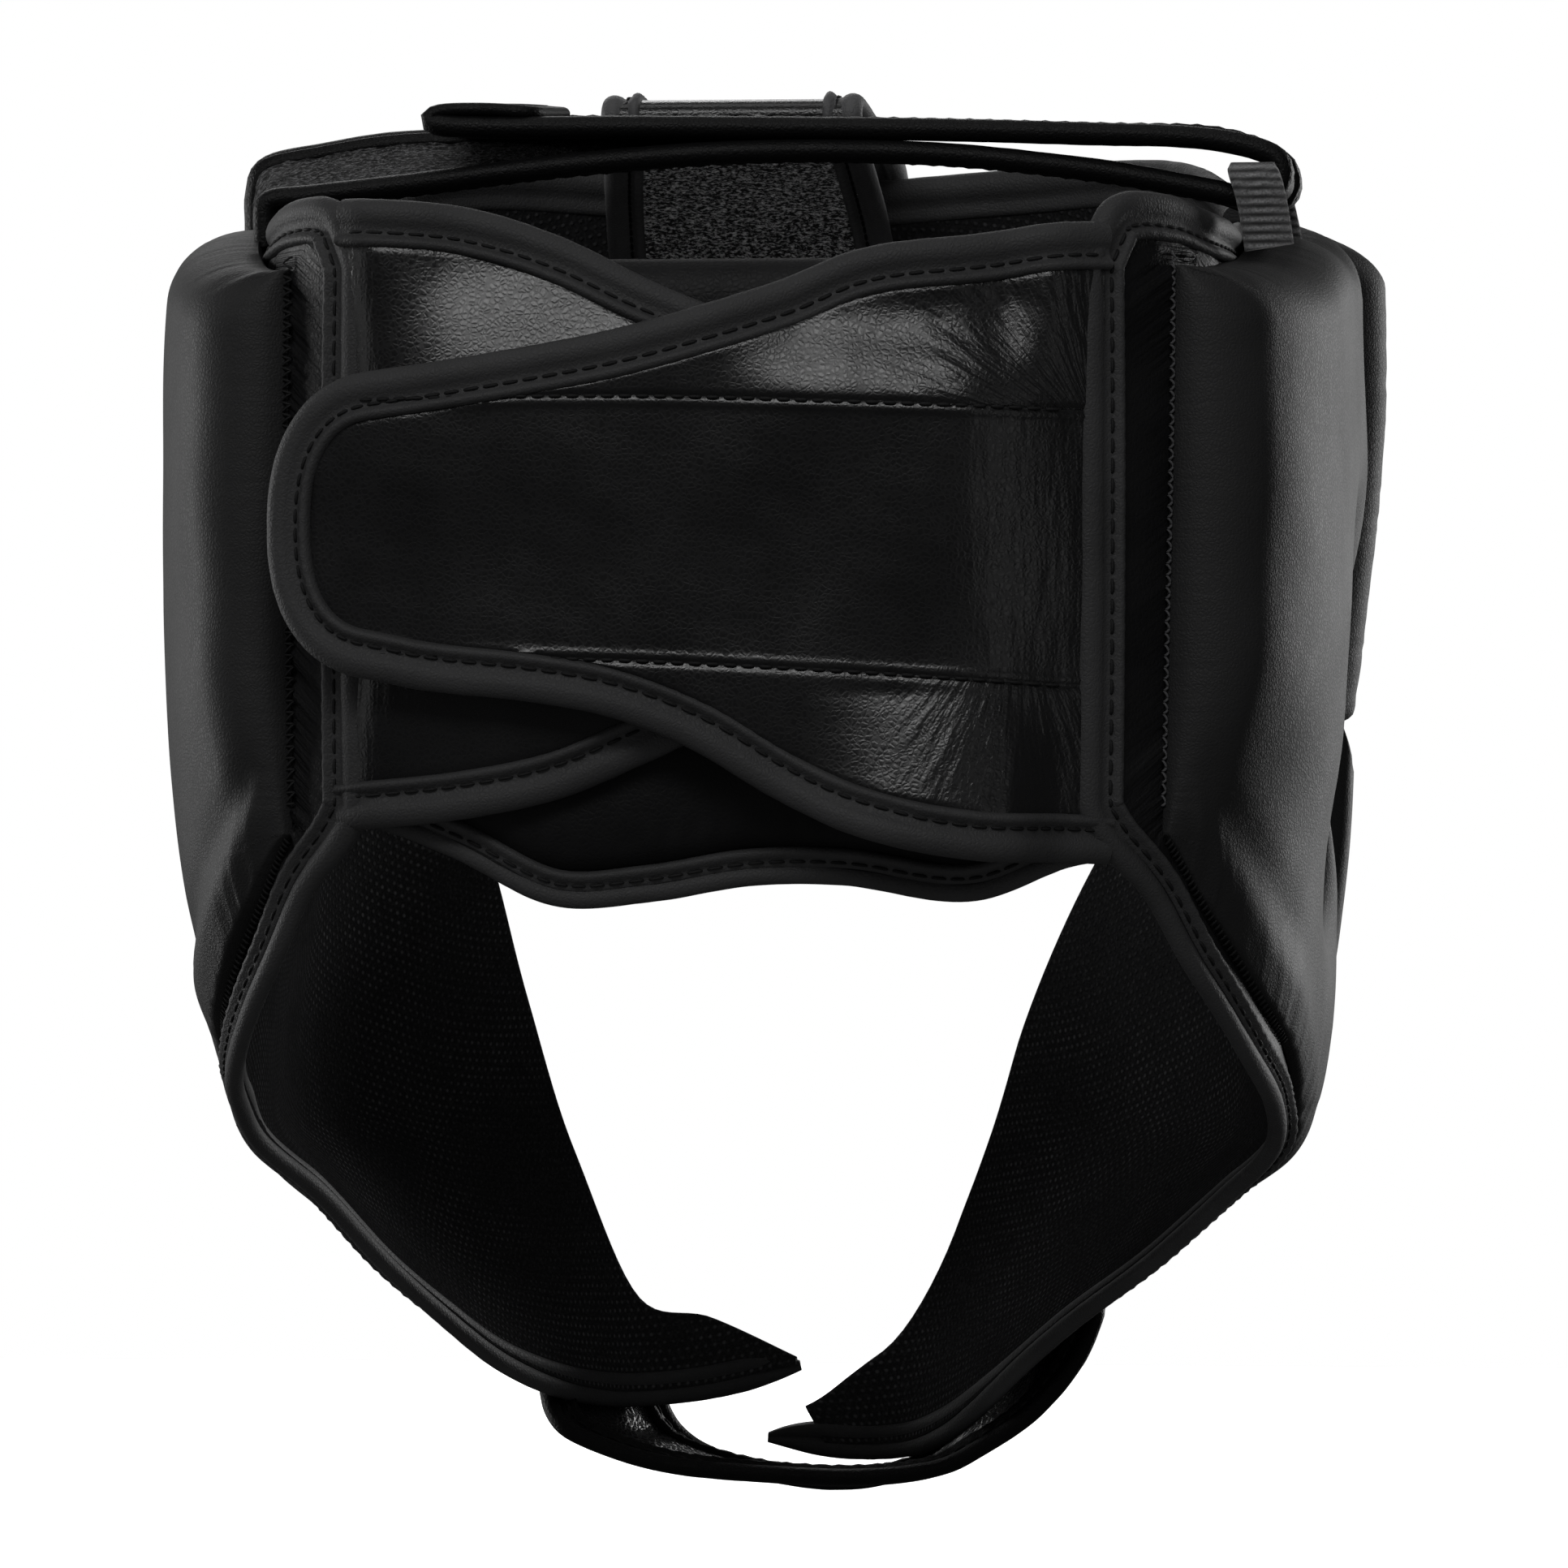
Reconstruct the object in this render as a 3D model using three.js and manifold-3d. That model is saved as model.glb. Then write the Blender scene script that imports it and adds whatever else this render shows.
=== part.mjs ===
// Sparring headgear: padded panels round a head, closed by straps behind, over the crown and under the chin.
// Millimetres, +Z up, the face looks along -Y and the wearer's left is +X. The origin is the middle of the head space.
import * as THREE from "three";
import { mergeVertices } from "three/addons/utils/BufferGeometryUtils.js";
import Module from "manifold-3d";

// Driving dimensions
const BASE_THICKNESS = 3.2; // leather and lining of the brow and side panels
const PAD_SEAT = 4.1; // where the pads begin, outside the panels
const PAD_EDGE = 2.2; // pad thickness at its sewn outline
const PAD_DOME = 7.0; // how far the top of a side pad swells above its seam
const STRAP_THICKNESS = 2.6;
const BINDING_RADIUS = 3.0; // rolled edge of the panels
const STRAP_BINDING_RADIUS = 2.5; // rolled edge of the straps
const BINDING_GAP = 0.8; // between a rolled edge and the piece it borders
const REAR_SQUARE = 4.0; // how square the head form is behind
const FRONT_SQUARE = 3.0; // and in front
const CHIN_SWAY = 8.0; // the chin lies this far to the wearer's left
const RIGHT_FLAP_DROP = 10.5; // the right chin flap passes under the left one
const RIGHT_FLAP_TRIM = 6.0; // and is this much narrower at its tip
const EAR = { y: 2, z: 8, halfDepth: 20, halfHeight: 30 };
const BROW_HALF_TURN = 64.0; // degrees from the middle of the brow to its side seam, at its low end

// The head form by height: half width, reach to the front and reach to the rear
const FORM_ROWS = [
  { z: -134, half: 38, front: 80, rear: 40 },
  { z: -111, half: 46, front: 82, rear: 50 },
  { z: -97, half: 57, front: 83, rear: 60 },
  { z: -84, half: 69, front: 84, rear: 71 },
  { z: -71, half: 79.6, front: 85.5, rear: 80 },
  { z: -59, half: 86.6, front: 87, rear: 87 },
  { z: -44, half: 87.6, front: 88, rear: 91 },
  { z: -21, half: 85, front: 89.5, rear: 94 },
  { z: 16, half: 82, front: 91, rear: 96 },
  { z: 66, half: 81, front: 91, rear: 96 },
  { z: 116, half: 79, front: 89, rear: 95 },
];

// The side panel in stations from the rear flange to the chin tip. Angles run from straight behind, in degrees.
// Foam is the pad's thickness there, taper the length of its slope from the low edge, topInset the bound top margin.
const SIDE_ROWS = [
  { at: 0, lowAngle: 33, lowZ: -6, topAngle: 33, topZ: 92, foam: 8, taper: 20, topInset: 6.8 },
  { at: 1, lowAngle: 36.5, lowZ: -13, topAngle: 37.5, topZ: 100, foam: 9, taper: 20, topInset: 6.8 },
  { at: 2, lowAngle: 41, lowZ: -21, topAngle: 43.8, topZ: 101, foam: 11, taper: 24, topInset: 6.8 },
  { at: 3, lowAngle: 49, lowZ: -35, topAngle: 52, topZ: 98, foam: 15, taper: 44, topInset: 6.8 },
  { at: 4, lowAngle: 62, lowZ: -49.5, topAngle: 65, topZ: 96.5, foam: 17.8, taper: 58, topInset: 6.8 },
  { at: 5, lowAngle: 75, lowZ: -58, topAngle: 80, topZ: 96, foam: 19, taper: 68, topInset: 6.8 },
  { at: 6, lowAngle: 89, lowZ: -70, topAngle: 96, topZ: 96.5, foam: 19.5, taper: 70, topInset: 6.8 },
  { at: 7, lowAngle: 102, lowZ: -81.5, topAngle: 110, topZ: 96.5, foam: 18.5, taper: 66, topInset: 6.8 },
  { at: 8, lowAngle: 110, lowZ: -88, topAngle: 112.7, topZ: 46, foam: 18, taper: 60, topInset: 0.4 },
  { at: 9, lowAngle: 118, lowZ: -94, topAngle: 115, topZ: 8.2, foam: 19, taper: 60, topInset: 0.4 },
  { at: 10, lowAngle: 128, lowZ: -101, topAngle: 137, topZ: 7.8, foam: 18, taper: 56, topInset: 0.4 },
  { at: 11, lowAngle: 138, lowZ: -107.5, topAngle: 145, topZ: -12, foam: 12, taper: 46, topInset: 0.4 },
  { at: 12, lowAngle: 148, lowZ: -112, topAngle: 150, topZ: -40, foam: 10, taper: 34, topInset: 0.4 },
  { at: 13, lowAngle: 156, lowZ: -114.5, topAngle: 156, topZ: -68, foam: 7, taper: 18, topInset: 0.4 },
  { at: 14, lowAngle: 163, lowZ: -115.5, topAngle: 164, topZ: -94.5, foam: 4, taper: 10, topInset: 0.4 },
  { at: 15, lowAngle: 172, lowZ: -115, topAngle: 172, topZ: -97, foam: 3, taper: 10, topInset: 0.4 },
  { at: 16, lowAngle: 182, lowZ: -112, topAngle: 182, topZ: -103, foam: 3, taper: 10, topInset: 0.4 },
];

// The brow panel by turn from its middle, as a fraction of its half turn
const BROW_ROWS = [
  { turn: 0, low: 22, top: 111, foam: 20 },
  { turn: 0.3, low: 20.5, top: 112.8, foam: 20 },
  { turn: 0.52, low: 14.5, top: 114, foam: 20.5 },
  { turn: 0.65, low: 9.3, top: 113.5, foam: 22 },
  { turn: 0.85, low: 9.3, top: 108, foam: 26 },
  { turn: 1, low: 9.3, top: 103, foam: 27 },
];

// The nape panel by width: its faces, its straight top and its waved low edge
const NAPE_ROWS = [
  { x: -58, inner: 85, outer: 88.4, top: 87, low: -13.6 },
  { x: -42, inner: 86, outer: 91, top: 87, low: -19.4 },
  { x: -20, inner: 87, outer: 93.8, top: 87, low: -16.8 },
  { x: -5, inner: 87.2, outer: 94.4, top: 87, low: -16.9 },
  { x: 12, inner: 87, outer: 94.2, top: 87, low: -19.6 },
  { x: 28, inner: 86.6, outer: 93, top: 87, low: -20.3 },
  { x: 44, inner: 86, outer: 90.8, top: 87, low: -12.6 },
  { x: 58, inner: 85, outer: 88.4, top: 87, low: -7.4 },
];

// The closure straps behind, from the sewn end to where the rounded free end begins
const REAR_STRAP_ROWS = [
  { x: -57.5, y: 91.2, top: 92.6, low: -13 },
  { x: -43, y: 99.2, top: 90.5, low: -12.5 },
  { x: -24, y: 102.6, top: 88, low: -8.5 },
  { x: -11, y: 103.6, top: 82.7, low: -2.5 },
  { x: 2, y: 103.8, top: 78.4, low: 5.3 },
  { x: 16, y: 103.6, top: 74.7, low: 10.8 },
  { x: 30, y: 102.9, top: 72.1, low: 13.4 },
  { x: 48, y: 101, top: 69.3, low: 15.4 },
  { x: 58, y: 99.4, top: 68, low: 17.4 },
  { x: 75, y: 95.4, top: 65, low: 20 },
];
const REAR_STRAP_END = { from: 58, to: 75 };
const REAR_WING_ROWS = [
  { x: 57.4, y: 91.4, top: 97.1, low: -7.4 },
  { x: 42, y: 95.9, top: 95.6, low: -5.8 },
  { x: 26, y: 97.4, top: 90.4, low: -2.4 },
  { x: 13.5, y: 97.8, top: 84.2, low: 2.8 },
  { x: 1.4, y: 97.8, top: 79, low: 8.2 },
  { x: -12, y: 97.3, top: 74, low: 12 },
  { x: -26, y: 96.3, top: 71, low: 15 },
  { x: -43, y: 93.6, top: 68, low: 18 },
];
const REAR_WING_END = { from: -26, to: -43 };

// The strap over the crown, in order from its sewn left end, round the fold at the right, to its free end
const CROSS_STRAP_Y = { rear: 50, front: 4 };
const CROSS_STRAP_ROWS = [
  { rearX: 88.4, rearZ: 100, frontX: 96, frontZ: 100.6 },
  { rearX: 86.6, rearZ: 100, frontX: 95, frontZ: 104 },
  { rearX: 83, rearZ: 100.2, frontX: 91, frontZ: 109 },
  { rearX: 76, rearZ: 100.6, frontX: 80, frontZ: 112 },
  { rearX: 60, rearZ: 102.3, frontX: 62, frontZ: 113.8 },
  { rearX: 30, rearZ: 106, frontX: 30, frontZ: 114 },
  { rearX: 0, rearZ: 109, frontX: 0, frontZ: 113.5 },
  { rearX: -30, rearZ: 108.2, frontX: -30, frontZ: 111.5 },
  { rearX: -58, rearZ: 105, frontX: -58, frontZ: 108 },
  { rearX: -78, rearZ: 100.8, frontX: -78, frontZ: 101.2 },
  { rearX: -86, rearZ: 99.4, frontX: -86, frontZ: 99.6 },
  { rearX: -91.6, rearZ: 100.6, frontX: -91.6, frontZ: 100.9 },
  { rearX: -93.2, rearZ: 104, frontX: -93.2, frontZ: 104.2 },
  { rearX: -90.4, rearZ: 107.6, frontX: -90.4, frontZ: 108 },
  { rearX: -78, rearZ: 110, frontX: -78, frontZ: 111 },
  { rearX: -58, rearZ: 112.4, frontX: -58, frontZ: 114.2 },
  { rearX: -20, rearZ: 114.6, frontX: -20, frontZ: 117 },
  { rearX: 20, rearZ: 115, frontX: 20, frontZ: 118 },
  { rearX: 46, rearZ: 114.4, frontX: 46, frontZ: 118 },
  { rearX: 58, rearZ: 114, frontX: 58, frontZ: 117.6 },
];
const ELASTIC = { x: -85.4, halfWidth: 3.2, thickness: 1.8, rearY: 53.2, frontY: 0.8, footZ: 97, topZ: 105 };

// The front strap in profile, from inside the brow panel, over its fold at the crown, down on the brow pad
const FRONT_STRAP_X = { left: 34.5, right: -14.5 };
const FRONT_STRAP_ROWS = [
  { y: -85.7, z: 82 },
  { y: -81.5, z: 93.5 },
  { y: -64, z: 102 },
  { y: -40, z: 108.5 },
  { y: -20, z: 113 },
  { y: -8, z: 115.6 },
  { y: -4.5, z: 118 },
  { y: -8, z: 120.4 },
  { y: -24, z: 120.2 },
  { y: -46, z: 119 },
  { y: -68, z: 117.8 },
  { y: -90, z: 116.8 },
  { y: -105, z: 114 },
  { y: -115, z: 106.5 },
  { y: -119.4, z: 95 },
  { y: -120, z: 80 },
];

// The chin strap by its rear and front edge, from the left cheek to the right
const CHIN_STRAP_ROWS = [
  { rearX: 62.6, rearY: -81.6, rearZ: -96.7, frontX: 38.1, frontY: -96.1, frontZ: -96.8 },
  { rearX: 56.1, rearY: -73.6, rearZ: -107.1, frontX: 36.2, frontY: -94.7, frontZ: -107.2 },
  { rearX: 45.2, rearY: -64.8, rearZ: -118.1, frontX: 32, frontY: -91, frontZ: -118 },
  { rearX: 36, rearY: -61, rearZ: -122, frontX: 24, frontY: -89, frontZ: -123 },
  { rearX: 22, rearY: -59, rearZ: -125, frontX: 15.5, frontY: -89, frontZ: -126.4 },
  { rearX: 4, rearY: -59, rearZ: -126.4, frontX: 7, frontY: -89, frontZ: -129 },
  { rearX: -12, rearY: -59, rearZ: -126.6, frontX: -2, frontY: -88, frontZ: -130 },
  { rearX: -27, rearY: -58, rearZ: -124.8, frontX: -12, frontY: -85.5, frontZ: -130 },
  { rearX: -35.5, rearY: -55, rearZ: -120.4, frontX: -22.5, frontY: -81.5, frontZ: -128 },
  { rearX: -45, rearY: -51, rearZ: -113.5, frontX: -32, frontY: -79, frontZ: -121.5 },
  { rearX: -53, rearY: -51, rearZ: -104, frontX: -38.5, frontY: -79, frontZ: -113 },
];

// Where the lines of a pad's grid lie across it, closer together at its rounded edges
const PAD_LINES = [0, 0.035, 0.1, 0.2, 0.34, 0.5, 0.66, 0.8, 0.9, 0.965, 1];
const FEW_PAD_LINES = [0, 0.05, 0.16, 0.4, 0.65, 0.86, 0.96, 1];

const { lerp, clamp, degToRad, smoothstep } = THREE.MathUtils;
const wasm = await Module();
wasm.setup();

// A smooth curve through the rows of a table, against one of its columns
function tableCurve(rows, along) {
  const columns = Object.keys(rows[0]).filter((name) => name !== along);
  const sign = rows.at(-1)[along] > rows[0][along] ? 1 : -1;
  const places = Float64Array.from(rows, (row) => sign * row[along]);
  const values = Float64Array.from(rows.flatMap((row) => columns.map((name) => row[name])));
  const curve = new THREE.CubicInterpolant(places, values, columns.length, new Float64Array(columns.length));
  return (place) => {
    const at = curve.evaluate(clamp(sign * place, places[0], places.at(-1)));
    return Object.fromEntries(columns.map((name, i) => [name, at[i]]));
  };
}

// The same against the number of the row
function rowCurve(rows) {
  return tableCurve(rows.map((row, i) => ({ row: i, ...row })), "row");
}

const formAt = tableCurve(FORM_ROWS, "z");
const sideAt = tableCurve(SIDE_ROWS, "at");
const browAt = tableCurve(BROW_ROWS, "turn");

function formPoint(angle, z) {
  const { half, front, rear } = formAt(z);
  const across = Math.sin(degToRad(angle));
  const along = Math.cos(degToRad(angle));
  const square = along > 0 ? REAR_SQUARE : FRONT_SQUARE;
  const reach = along > 0 ? rear : front;
  const radius = (Math.abs(across / half) ** square + Math.abs(along / reach) ** square) ** (-1 / square);
  const sway = CHIN_SWAY * (1 - smoothstep(z, -50, 30)) * smoothstep(Math.abs(angle), 80, 140);
  return new THREE.Vector3(radius * across + sway, radius * along, z);
}

// The place a given distance outside the head form
function offForm(angle, z, out) {
  const around = formPoint(angle + 0.5, z).sub(formPoint(angle - 0.5, z));
  const up = formPoint(angle, z + 0.5).sub(formPoint(angle, z - 0.5));
  return formPoint(angle, z).addScaledVector(up.cross(around).normalize(), out);
}

// Rise of a pad from its sewn edge: a quarter round over a run of 1
function rise(run) {
  return Math.sqrt(1 - (1 - clamp(run, 0, 1)) ** 2);
}

// A geometry whose faces look outwards
function facingOut(geometry) {
  const place = geometry.getAttribute("position");
  const index = geometry.index;
  const corner = [0, 1, 2].map(() => new THREE.Vector3());
  let volume = 0;
  for (let i = 0; i < index.count; i += 3) {
    corner.forEach((point, k) => point.fromBufferAttribute(place, index.getX(i + k)));
    volume += corner[0].dot(corner[1].clone().cross(corner[2]));
  }
  if (volume < 0) {
    for (let i = 0; i < index.count; i += 3) {
      const swapped = index.getX(i + 1);
      index.setX(i + 1, index.getX(i + 2));
      index.setX(i + 2, swapped);
    }
  }
  return geometry;
}

// A closed sheet between an outer and an inner face, each a function of a place on the same grid of lines
function sheet(along, across, outer, inner) {
  const points = [];
  const faces = [];
  for (const face of [outer, inner]) {
    for (const u of along) {
      for (const v of across) {
        points.push(face(u, v));
      }
    }
  }
  const wide = across.length;
  const half = along.length * wide;
  const quad = (a, b, c, d) => faces.push(a, b, c, a, c, d);
  for (let i = 0; i + 1 < along.length; i += 1) {
    for (let j = 0; j + 1 < wide; j += 1) {
      const a = i * wide + j;
      quad(a, a + wide, a + wide + 1, a + 1);
      quad(half + a, half + a + 1, half + a + wide + 1, half + a + wide);
    }
    const low = i * wide;
    const high = low + wide - 1;
    quad(low, half + low, half + low + wide, low + wide);
    quad(high, high + wide, half + high + wide, half + high);
  }
  const last = half - wide;
  for (let j = 0; j + 1 < wide; j += 1) {
    quad(j, j + 1, half + j + 1, half + j);
    quad(last + j, half + last + j, half + last + j + 1, last + j + 1);
  }
  const geometry = new THREE.BufferGeometry().setFromPoints(points);
  geometry.setIndex(faces);
  return facingOut(geometry);
}

// Evenly spaced lines, and the pad's lines laid between two places
function evenLines(from, to, cells) {
  return Array.from({ length: cells + 1 }, (_, i) => lerp(from, to, i / cells));
}
function padLines(from, to, lines = PAD_LINES) {
  return lines.map((line) => lerp(from, to, line));
}

// A rolled edge: a closed tube through points
function rolledEdge(points, radius, steps, sides = 6) {
  const ring = Array.from({ length: sides }, (_, i) => {
    const turn = (2 * Math.PI * i) / sides;
    return new THREE.Vector2(radius * Math.cos(turn), radius * Math.sin(turn));
  });
  const extrudePath = new THREE.CatmullRomCurve3(points);
  const tube = new THREE.ExtrudeGeometry(new THREE.Shape(ring), { steps, extrudePath, bevelEnabled: false });
  return closed(tube);
}

// One vertex for each place, so that the faces of a geometry join
function closed(geometry) {
  geometry.deleteAttribute("normal");
  geometry.deleteAttribute("uv");
  return facingOut(mergeVertices(geometry, 1e-3));
}

function asSolid(geometry) {
  const vertProperties = new Float32Array(geometry.getAttribute("position").array);
  const triVerts = new Uint32Array(geometry.index.array);
  return new wasm.Manifold(new wasm.Mesh({ numProp: 3, vertProperties, triVerts }));
}

// One geometry with another cut out of it
function cut(geometry, tool) {
  const mesh = asSolid(geometry).subtract(asSolid(tool)).getMesh();
  const result = new THREE.BufferGeometry();
  result.setAttribute("position", new THREE.BufferAttribute(mesh.vertProperties, 3));
  result.setIndex(Array.from(mesh.triVerts));
  return result;
}

const group = new THREE.Group();
const leather = new THREE.MeshStandardMaterial({ color: 0x26272a, roughness: 0.5 });
const smoothLeather = new THREE.MeshStandardMaterial({ color: 0x303134, roughness: 0.6 });
const rolledLeather = new THREE.MeshStandardMaterial({ color: 0x1e1f21, roughness: 0.45 });
const webbing = new THREE.MeshStandardMaterial({ color: 0x3a3b3e, roughness: 0.85 });

function add(name, geometry, material) {
  const mesh = new THREE.Mesh(geometry, material);
  mesh.name = name;
  group.add(mesh);
}

// Side panels, their pads and bindings

// A place on the side panel: at counts stations, across runs from the low edge (0) to the top edge (1)
function sidePlace(side, at, across, out) {
  const row = sideAt(at);
  const drop = side < 0 ? RIGHT_FLAP_DROP * smoothstep(at, 9, 15.5) : 0;
  const trim = side < 0 ? RIGHT_FLAP_TRIM * smoothstep(at, 13.5, 15) : 0;
  const z = lerp(row.lowZ, row.topZ - trim, across) - drop;
  return offForm(side * lerp(row.lowAngle, row.topAngle, across), z, out);
}

// Length of the panel's station line from its low to its top edge
function stationLength(side, at) {
  return sidePlace(side, at, 0, 0).distanceTo(sidePlace(side, at, 1, 0));
}

// The panel's width between a low and a top margin, both in millimetres
function between(side, at, lowMargin, topMargin, share) {
  const length = stationLength(side, at);
  return lerp(lowMargin / length, 1 - topMargin / length, share);
}

// How far a place lies outside the ear hole, where 1 is its rim
function earDistance(point, grow) {
  return Math.hypot((point.y - EAR.y) / (EAR.halfDepth + grow), (point.z - EAR.z) / (EAR.halfHeight + grow));
}

function earCutter(side, grow) {
  const outline = new THREE.Shape();
  outline.absellipse(0, 0, EAR.halfDepth + grow, EAR.halfHeight + grow, 0, 2 * Math.PI);
  const prism = new THREE.ExtrudeGeometry(outline, { depth: 80, bevelEnabled: false, curveSegments: 11 });
  prism.rotateX(Math.PI / 2).rotateZ(Math.PI / 2).translate(side > 0 ? 50 : -130, EAR.y, EAR.z);
  return closed(prism);
}

function sideBase(side) {
  const inset = 2 * BINDING_RADIUS + BINDING_GAP + 0.4;
  const face = (out) => (at, share) => {
    return sidePlace(side, at, between(side, at, inset, sideAt(at).topInset, share), out);
  };
  const tip = side > 0 ? 15.7 : 15.1;
  const stations = [1.17, ...evenLines(1.5, 15, 27), tip];
  const panel = sheet(stations, evenLines(0, 1, 6), face(BASE_THICKNESS), face(0));
  return cut(panel, earCutter(side, 0));
}

function sidePad(side) {
  const rear = 2;
  const front = 7.25;
  const face = (top) => (at, share) => {
    const across = between(side, at, 12.5, lerp(12.5, 7.8, smoothstep(at, 2, 4)), share);
    const seat = sidePlace(side, at, across, PAD_SEAT);
    if (!top) {
      return seat;
    }
    const { foam, taper } = sideAt(at);
    const length = stationLength(side, at);
    const lowRun = share * (length - 21);
    const lowSlope = lerp(0.2, 1, clamp(lowRun / taper, 0, 1)) * rise(lowRun / 6);
    const edges = rise((at - rear) / 0.7) * rise((front - at) / 0.7) * rise(((1 - share) * (length - 21)) / 11);
    const ear = lerp(0.4, 1, rise((earDistance(seat, 3) - 1) / 0.55));
    const swell = PAD_DOME * smoothstep(share, 0.72, 1) * smoothstep(at, 2, 4) * rise((front - at) / 0.7);
    const place = sidePlace(side, at, across, PAD_SEAT + PAD_EDGE + (foam - PAD_EDGE) * lowSlope * edges * ear);
    return place.setZ(place.z + swell);
  };
  const pad = sheet(padLines(rear, front), padLines(0, 1), face(true), face(false));
  return cut(pad, earCutter(side, 3));
}

function cheekPad(side) {
  const rear = 8.3;
  const front = 13.4;
  const face = (top) => (at, share) => {
    const across = between(side, at, 11.5, 2.5, share);
    if (!top) {
      return sidePlace(side, at, across, PAD_SEAT);
    }
    const { foam, taper } = sideAt(at);
    const length = stationLength(side, at) - 14;
    const lowRun = share * length;
    const lowSlope = clamp(lowRun / taper, 0, 1) * rise(lowRun / 6);
    const slopes = lowSlope * rise(((1 - share) * length) / 8);
    const ends = rise((at - rear) / 0.9) * rise((front - at) / 1.2);
    return sidePlace(side, at, across, PAD_SEAT + PAD_EDGE + (foam - PAD_EDGE) * slopes * ends);
  };
  const stations = [rear, 8.45, 8.65, ...evenLines(9, 13, 8), 13.25, front];
  return sheet(stations, evenLines(0, 1, 8), face(true), face(false));
}

// The rolled edge runs along the top edge to the rear, down the flange, and along the low edge to the chin tip
function sideBinding(side) {
  const middle = BASE_THICKNESS / 2;
  const atEdge = (at, low) => {
    const share = BINDING_RADIUS / stationLength(side, at);
    return sidePlace(side, at, low ? share : 1 - share, middle);
  };
  const top = evenLines(6.8, 0.9, 9).map((at) => atEdge(at, false));
  const flange = evenLines(0.93, 0.04, 9).map((across) => sidePlace(side, 0.4, across, middle));
  const low = evenLines(0.9, 15.9, 26).map((at) => atEdge(at, true));
  return rolledEdge([...top, ...flange, ...low], BINDING_RADIUS, 52);
}

function earBinding(side) {
  const inset = BINDING_GAP + STRAP_BINDING_RADIUS;
  const rim = evenLines(0, 2 * Math.PI, 24).slice(0, -1).map((turn) => {
    const y = EAR.y + (EAR.halfDepth - inset) * Math.cos(turn);
    const z = EAR.z + (EAR.halfHeight - inset) * Math.sin(turn);
    return new THREE.Vector3(side * (formAt(z).half + BASE_THICKNESS / 2), y, z);
  });
  const path = new THREE.CatmullRomCurve3(rim, true);
  return closed(new THREE.TubeGeometry(path, 18, STRAP_BINDING_RADIUS, 6, true));
}

for (const [name, side] of [["left", 1], ["right", -1]]) {
  add(`side_base_${name}`, sideBase(side), leather);
  add(`side_pad_${name}`, sidePad(side), smoothLeather);
  add(`cheek_pad_${name}`, cheekPad(side), smoothLeather);
  add(`side_binding_${name}`, sideBinding(side), rolledLeather);
  add(`ear_binding_${name}`, earBinding(side), rolledLeather);
}

// Brow panel, its pad and its binding

// A place on the brow: turn runs from -1 at the right seam to 1 at the left, across from low to top
function browPlace(turn, across, out, lowMargin, topMargin) {
  const row = browAt(Math.abs(turn));
  const z = lerp(row.low + lowMargin, row.top - topMargin, across);
  const halfTurn = BROW_HALF_TURN + (5 * (z - 9)) / 82;
  return offForm(180 - turn * halfTurn, z, out);
}

function browBase() {
  const topMargin = 2 * BINDING_RADIUS + BINDING_GAP;
  const face = (out) => (turn, across) => browPlace(turn, across, out, 0, topMargin);
  return sheet(evenLines(-1, 1, 24), evenLines(0, 1, 3), face(BASE_THICKNESS), face(0));
}

function browPad() {
  const face = (top) => (turn, across) => {
    const { foam, low, top: high } = browAt(Math.abs(turn));
    const height = high - low - 10.5;
    const slopes = rise((across * height) / 9) * rise(((1 - across) * height) / 11);
    const ends = rise((0.955 - Math.abs(turn)) / 0.1) * lerp(0.82, 1, clamp((across * height) / 55, 0, 1));
    const seat = PAD_SEAT + 0.4;
    const out = top ? seat + PAD_EDGE + (foam - PAD_EDGE) * slopes * ends : seat;
    return browPlace(turn, across, out, 2.5, 8);
  };
  const around = [...padLines(-0.955, 0).slice(0, 7), ...evenLines(-0.4, 0.4, 6), ...padLines(0, 0.955).slice(-7)];
  const turns = [...new Set(around.map((turn) => Number(turn.toFixed(4))))].sort((a, b) => a - b);
  return sheet(turns, padLines(0, 1, FEW_PAD_LINES), face(true), face(false));
}

function browBinding() {
  const path = evenLines(-0.97, 0.97, 20).map((turn) => browPlace(turn, 1, BASE_THICKNESS / 2, 0, BINDING_RADIUS));
  return rolledEdge(path, BINDING_RADIUS, 20);
}

add("forehead_base", browBase(), leather);
add("forehead_pad", browPad(), smoothLeather);
add("forehead_binding", browBinding(), rolledLeather);

// Nape panel and its binding

const NAPE_BINDING_RADIUS = 1.6;
const napeAt = tableCurve(NAPE_ROWS, "x");

function napePad() {
  const face = (outside) => (x, across) => {
    const row = napeAt(x);
    const lowEdge = row.low + 2 * NAPE_BINDING_RADIUS + BINDING_GAP;
    const z = lerp(lowEdge, row.top, across);
    const round = rise((across * (row.top - lowEdge)) / 12) * rise(((1 - across) * (row.top - lowEdge)) / 9);
    return new THREE.Vector3(x, outside ? lerp(row.inner + 2.5, row.outer, round) : row.inner, z);
  };
  return sheet(evenLines(-57.5, 57.5, 14), padLines(0, 1, FEW_PAD_LINES), face(true), face(false));
}

function napeBinding() {
  const path = evenLines(-54, 54, 24).map((x) => {
    const row = napeAt(x);
    return new THREE.Vector3(x, row.inner + 1.7, row.low + NAPE_BINDING_RADIUS);
  });
  return rolledEdge(path, NAPE_BINDING_RADIUS, 18);
}

add("nape_pad", napePad(), leather);
add("nape_binding", napeBinding(), rolledLeather);

// Closure straps behind: the wing from the left flange and the rear strap from the right one over it

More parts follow.
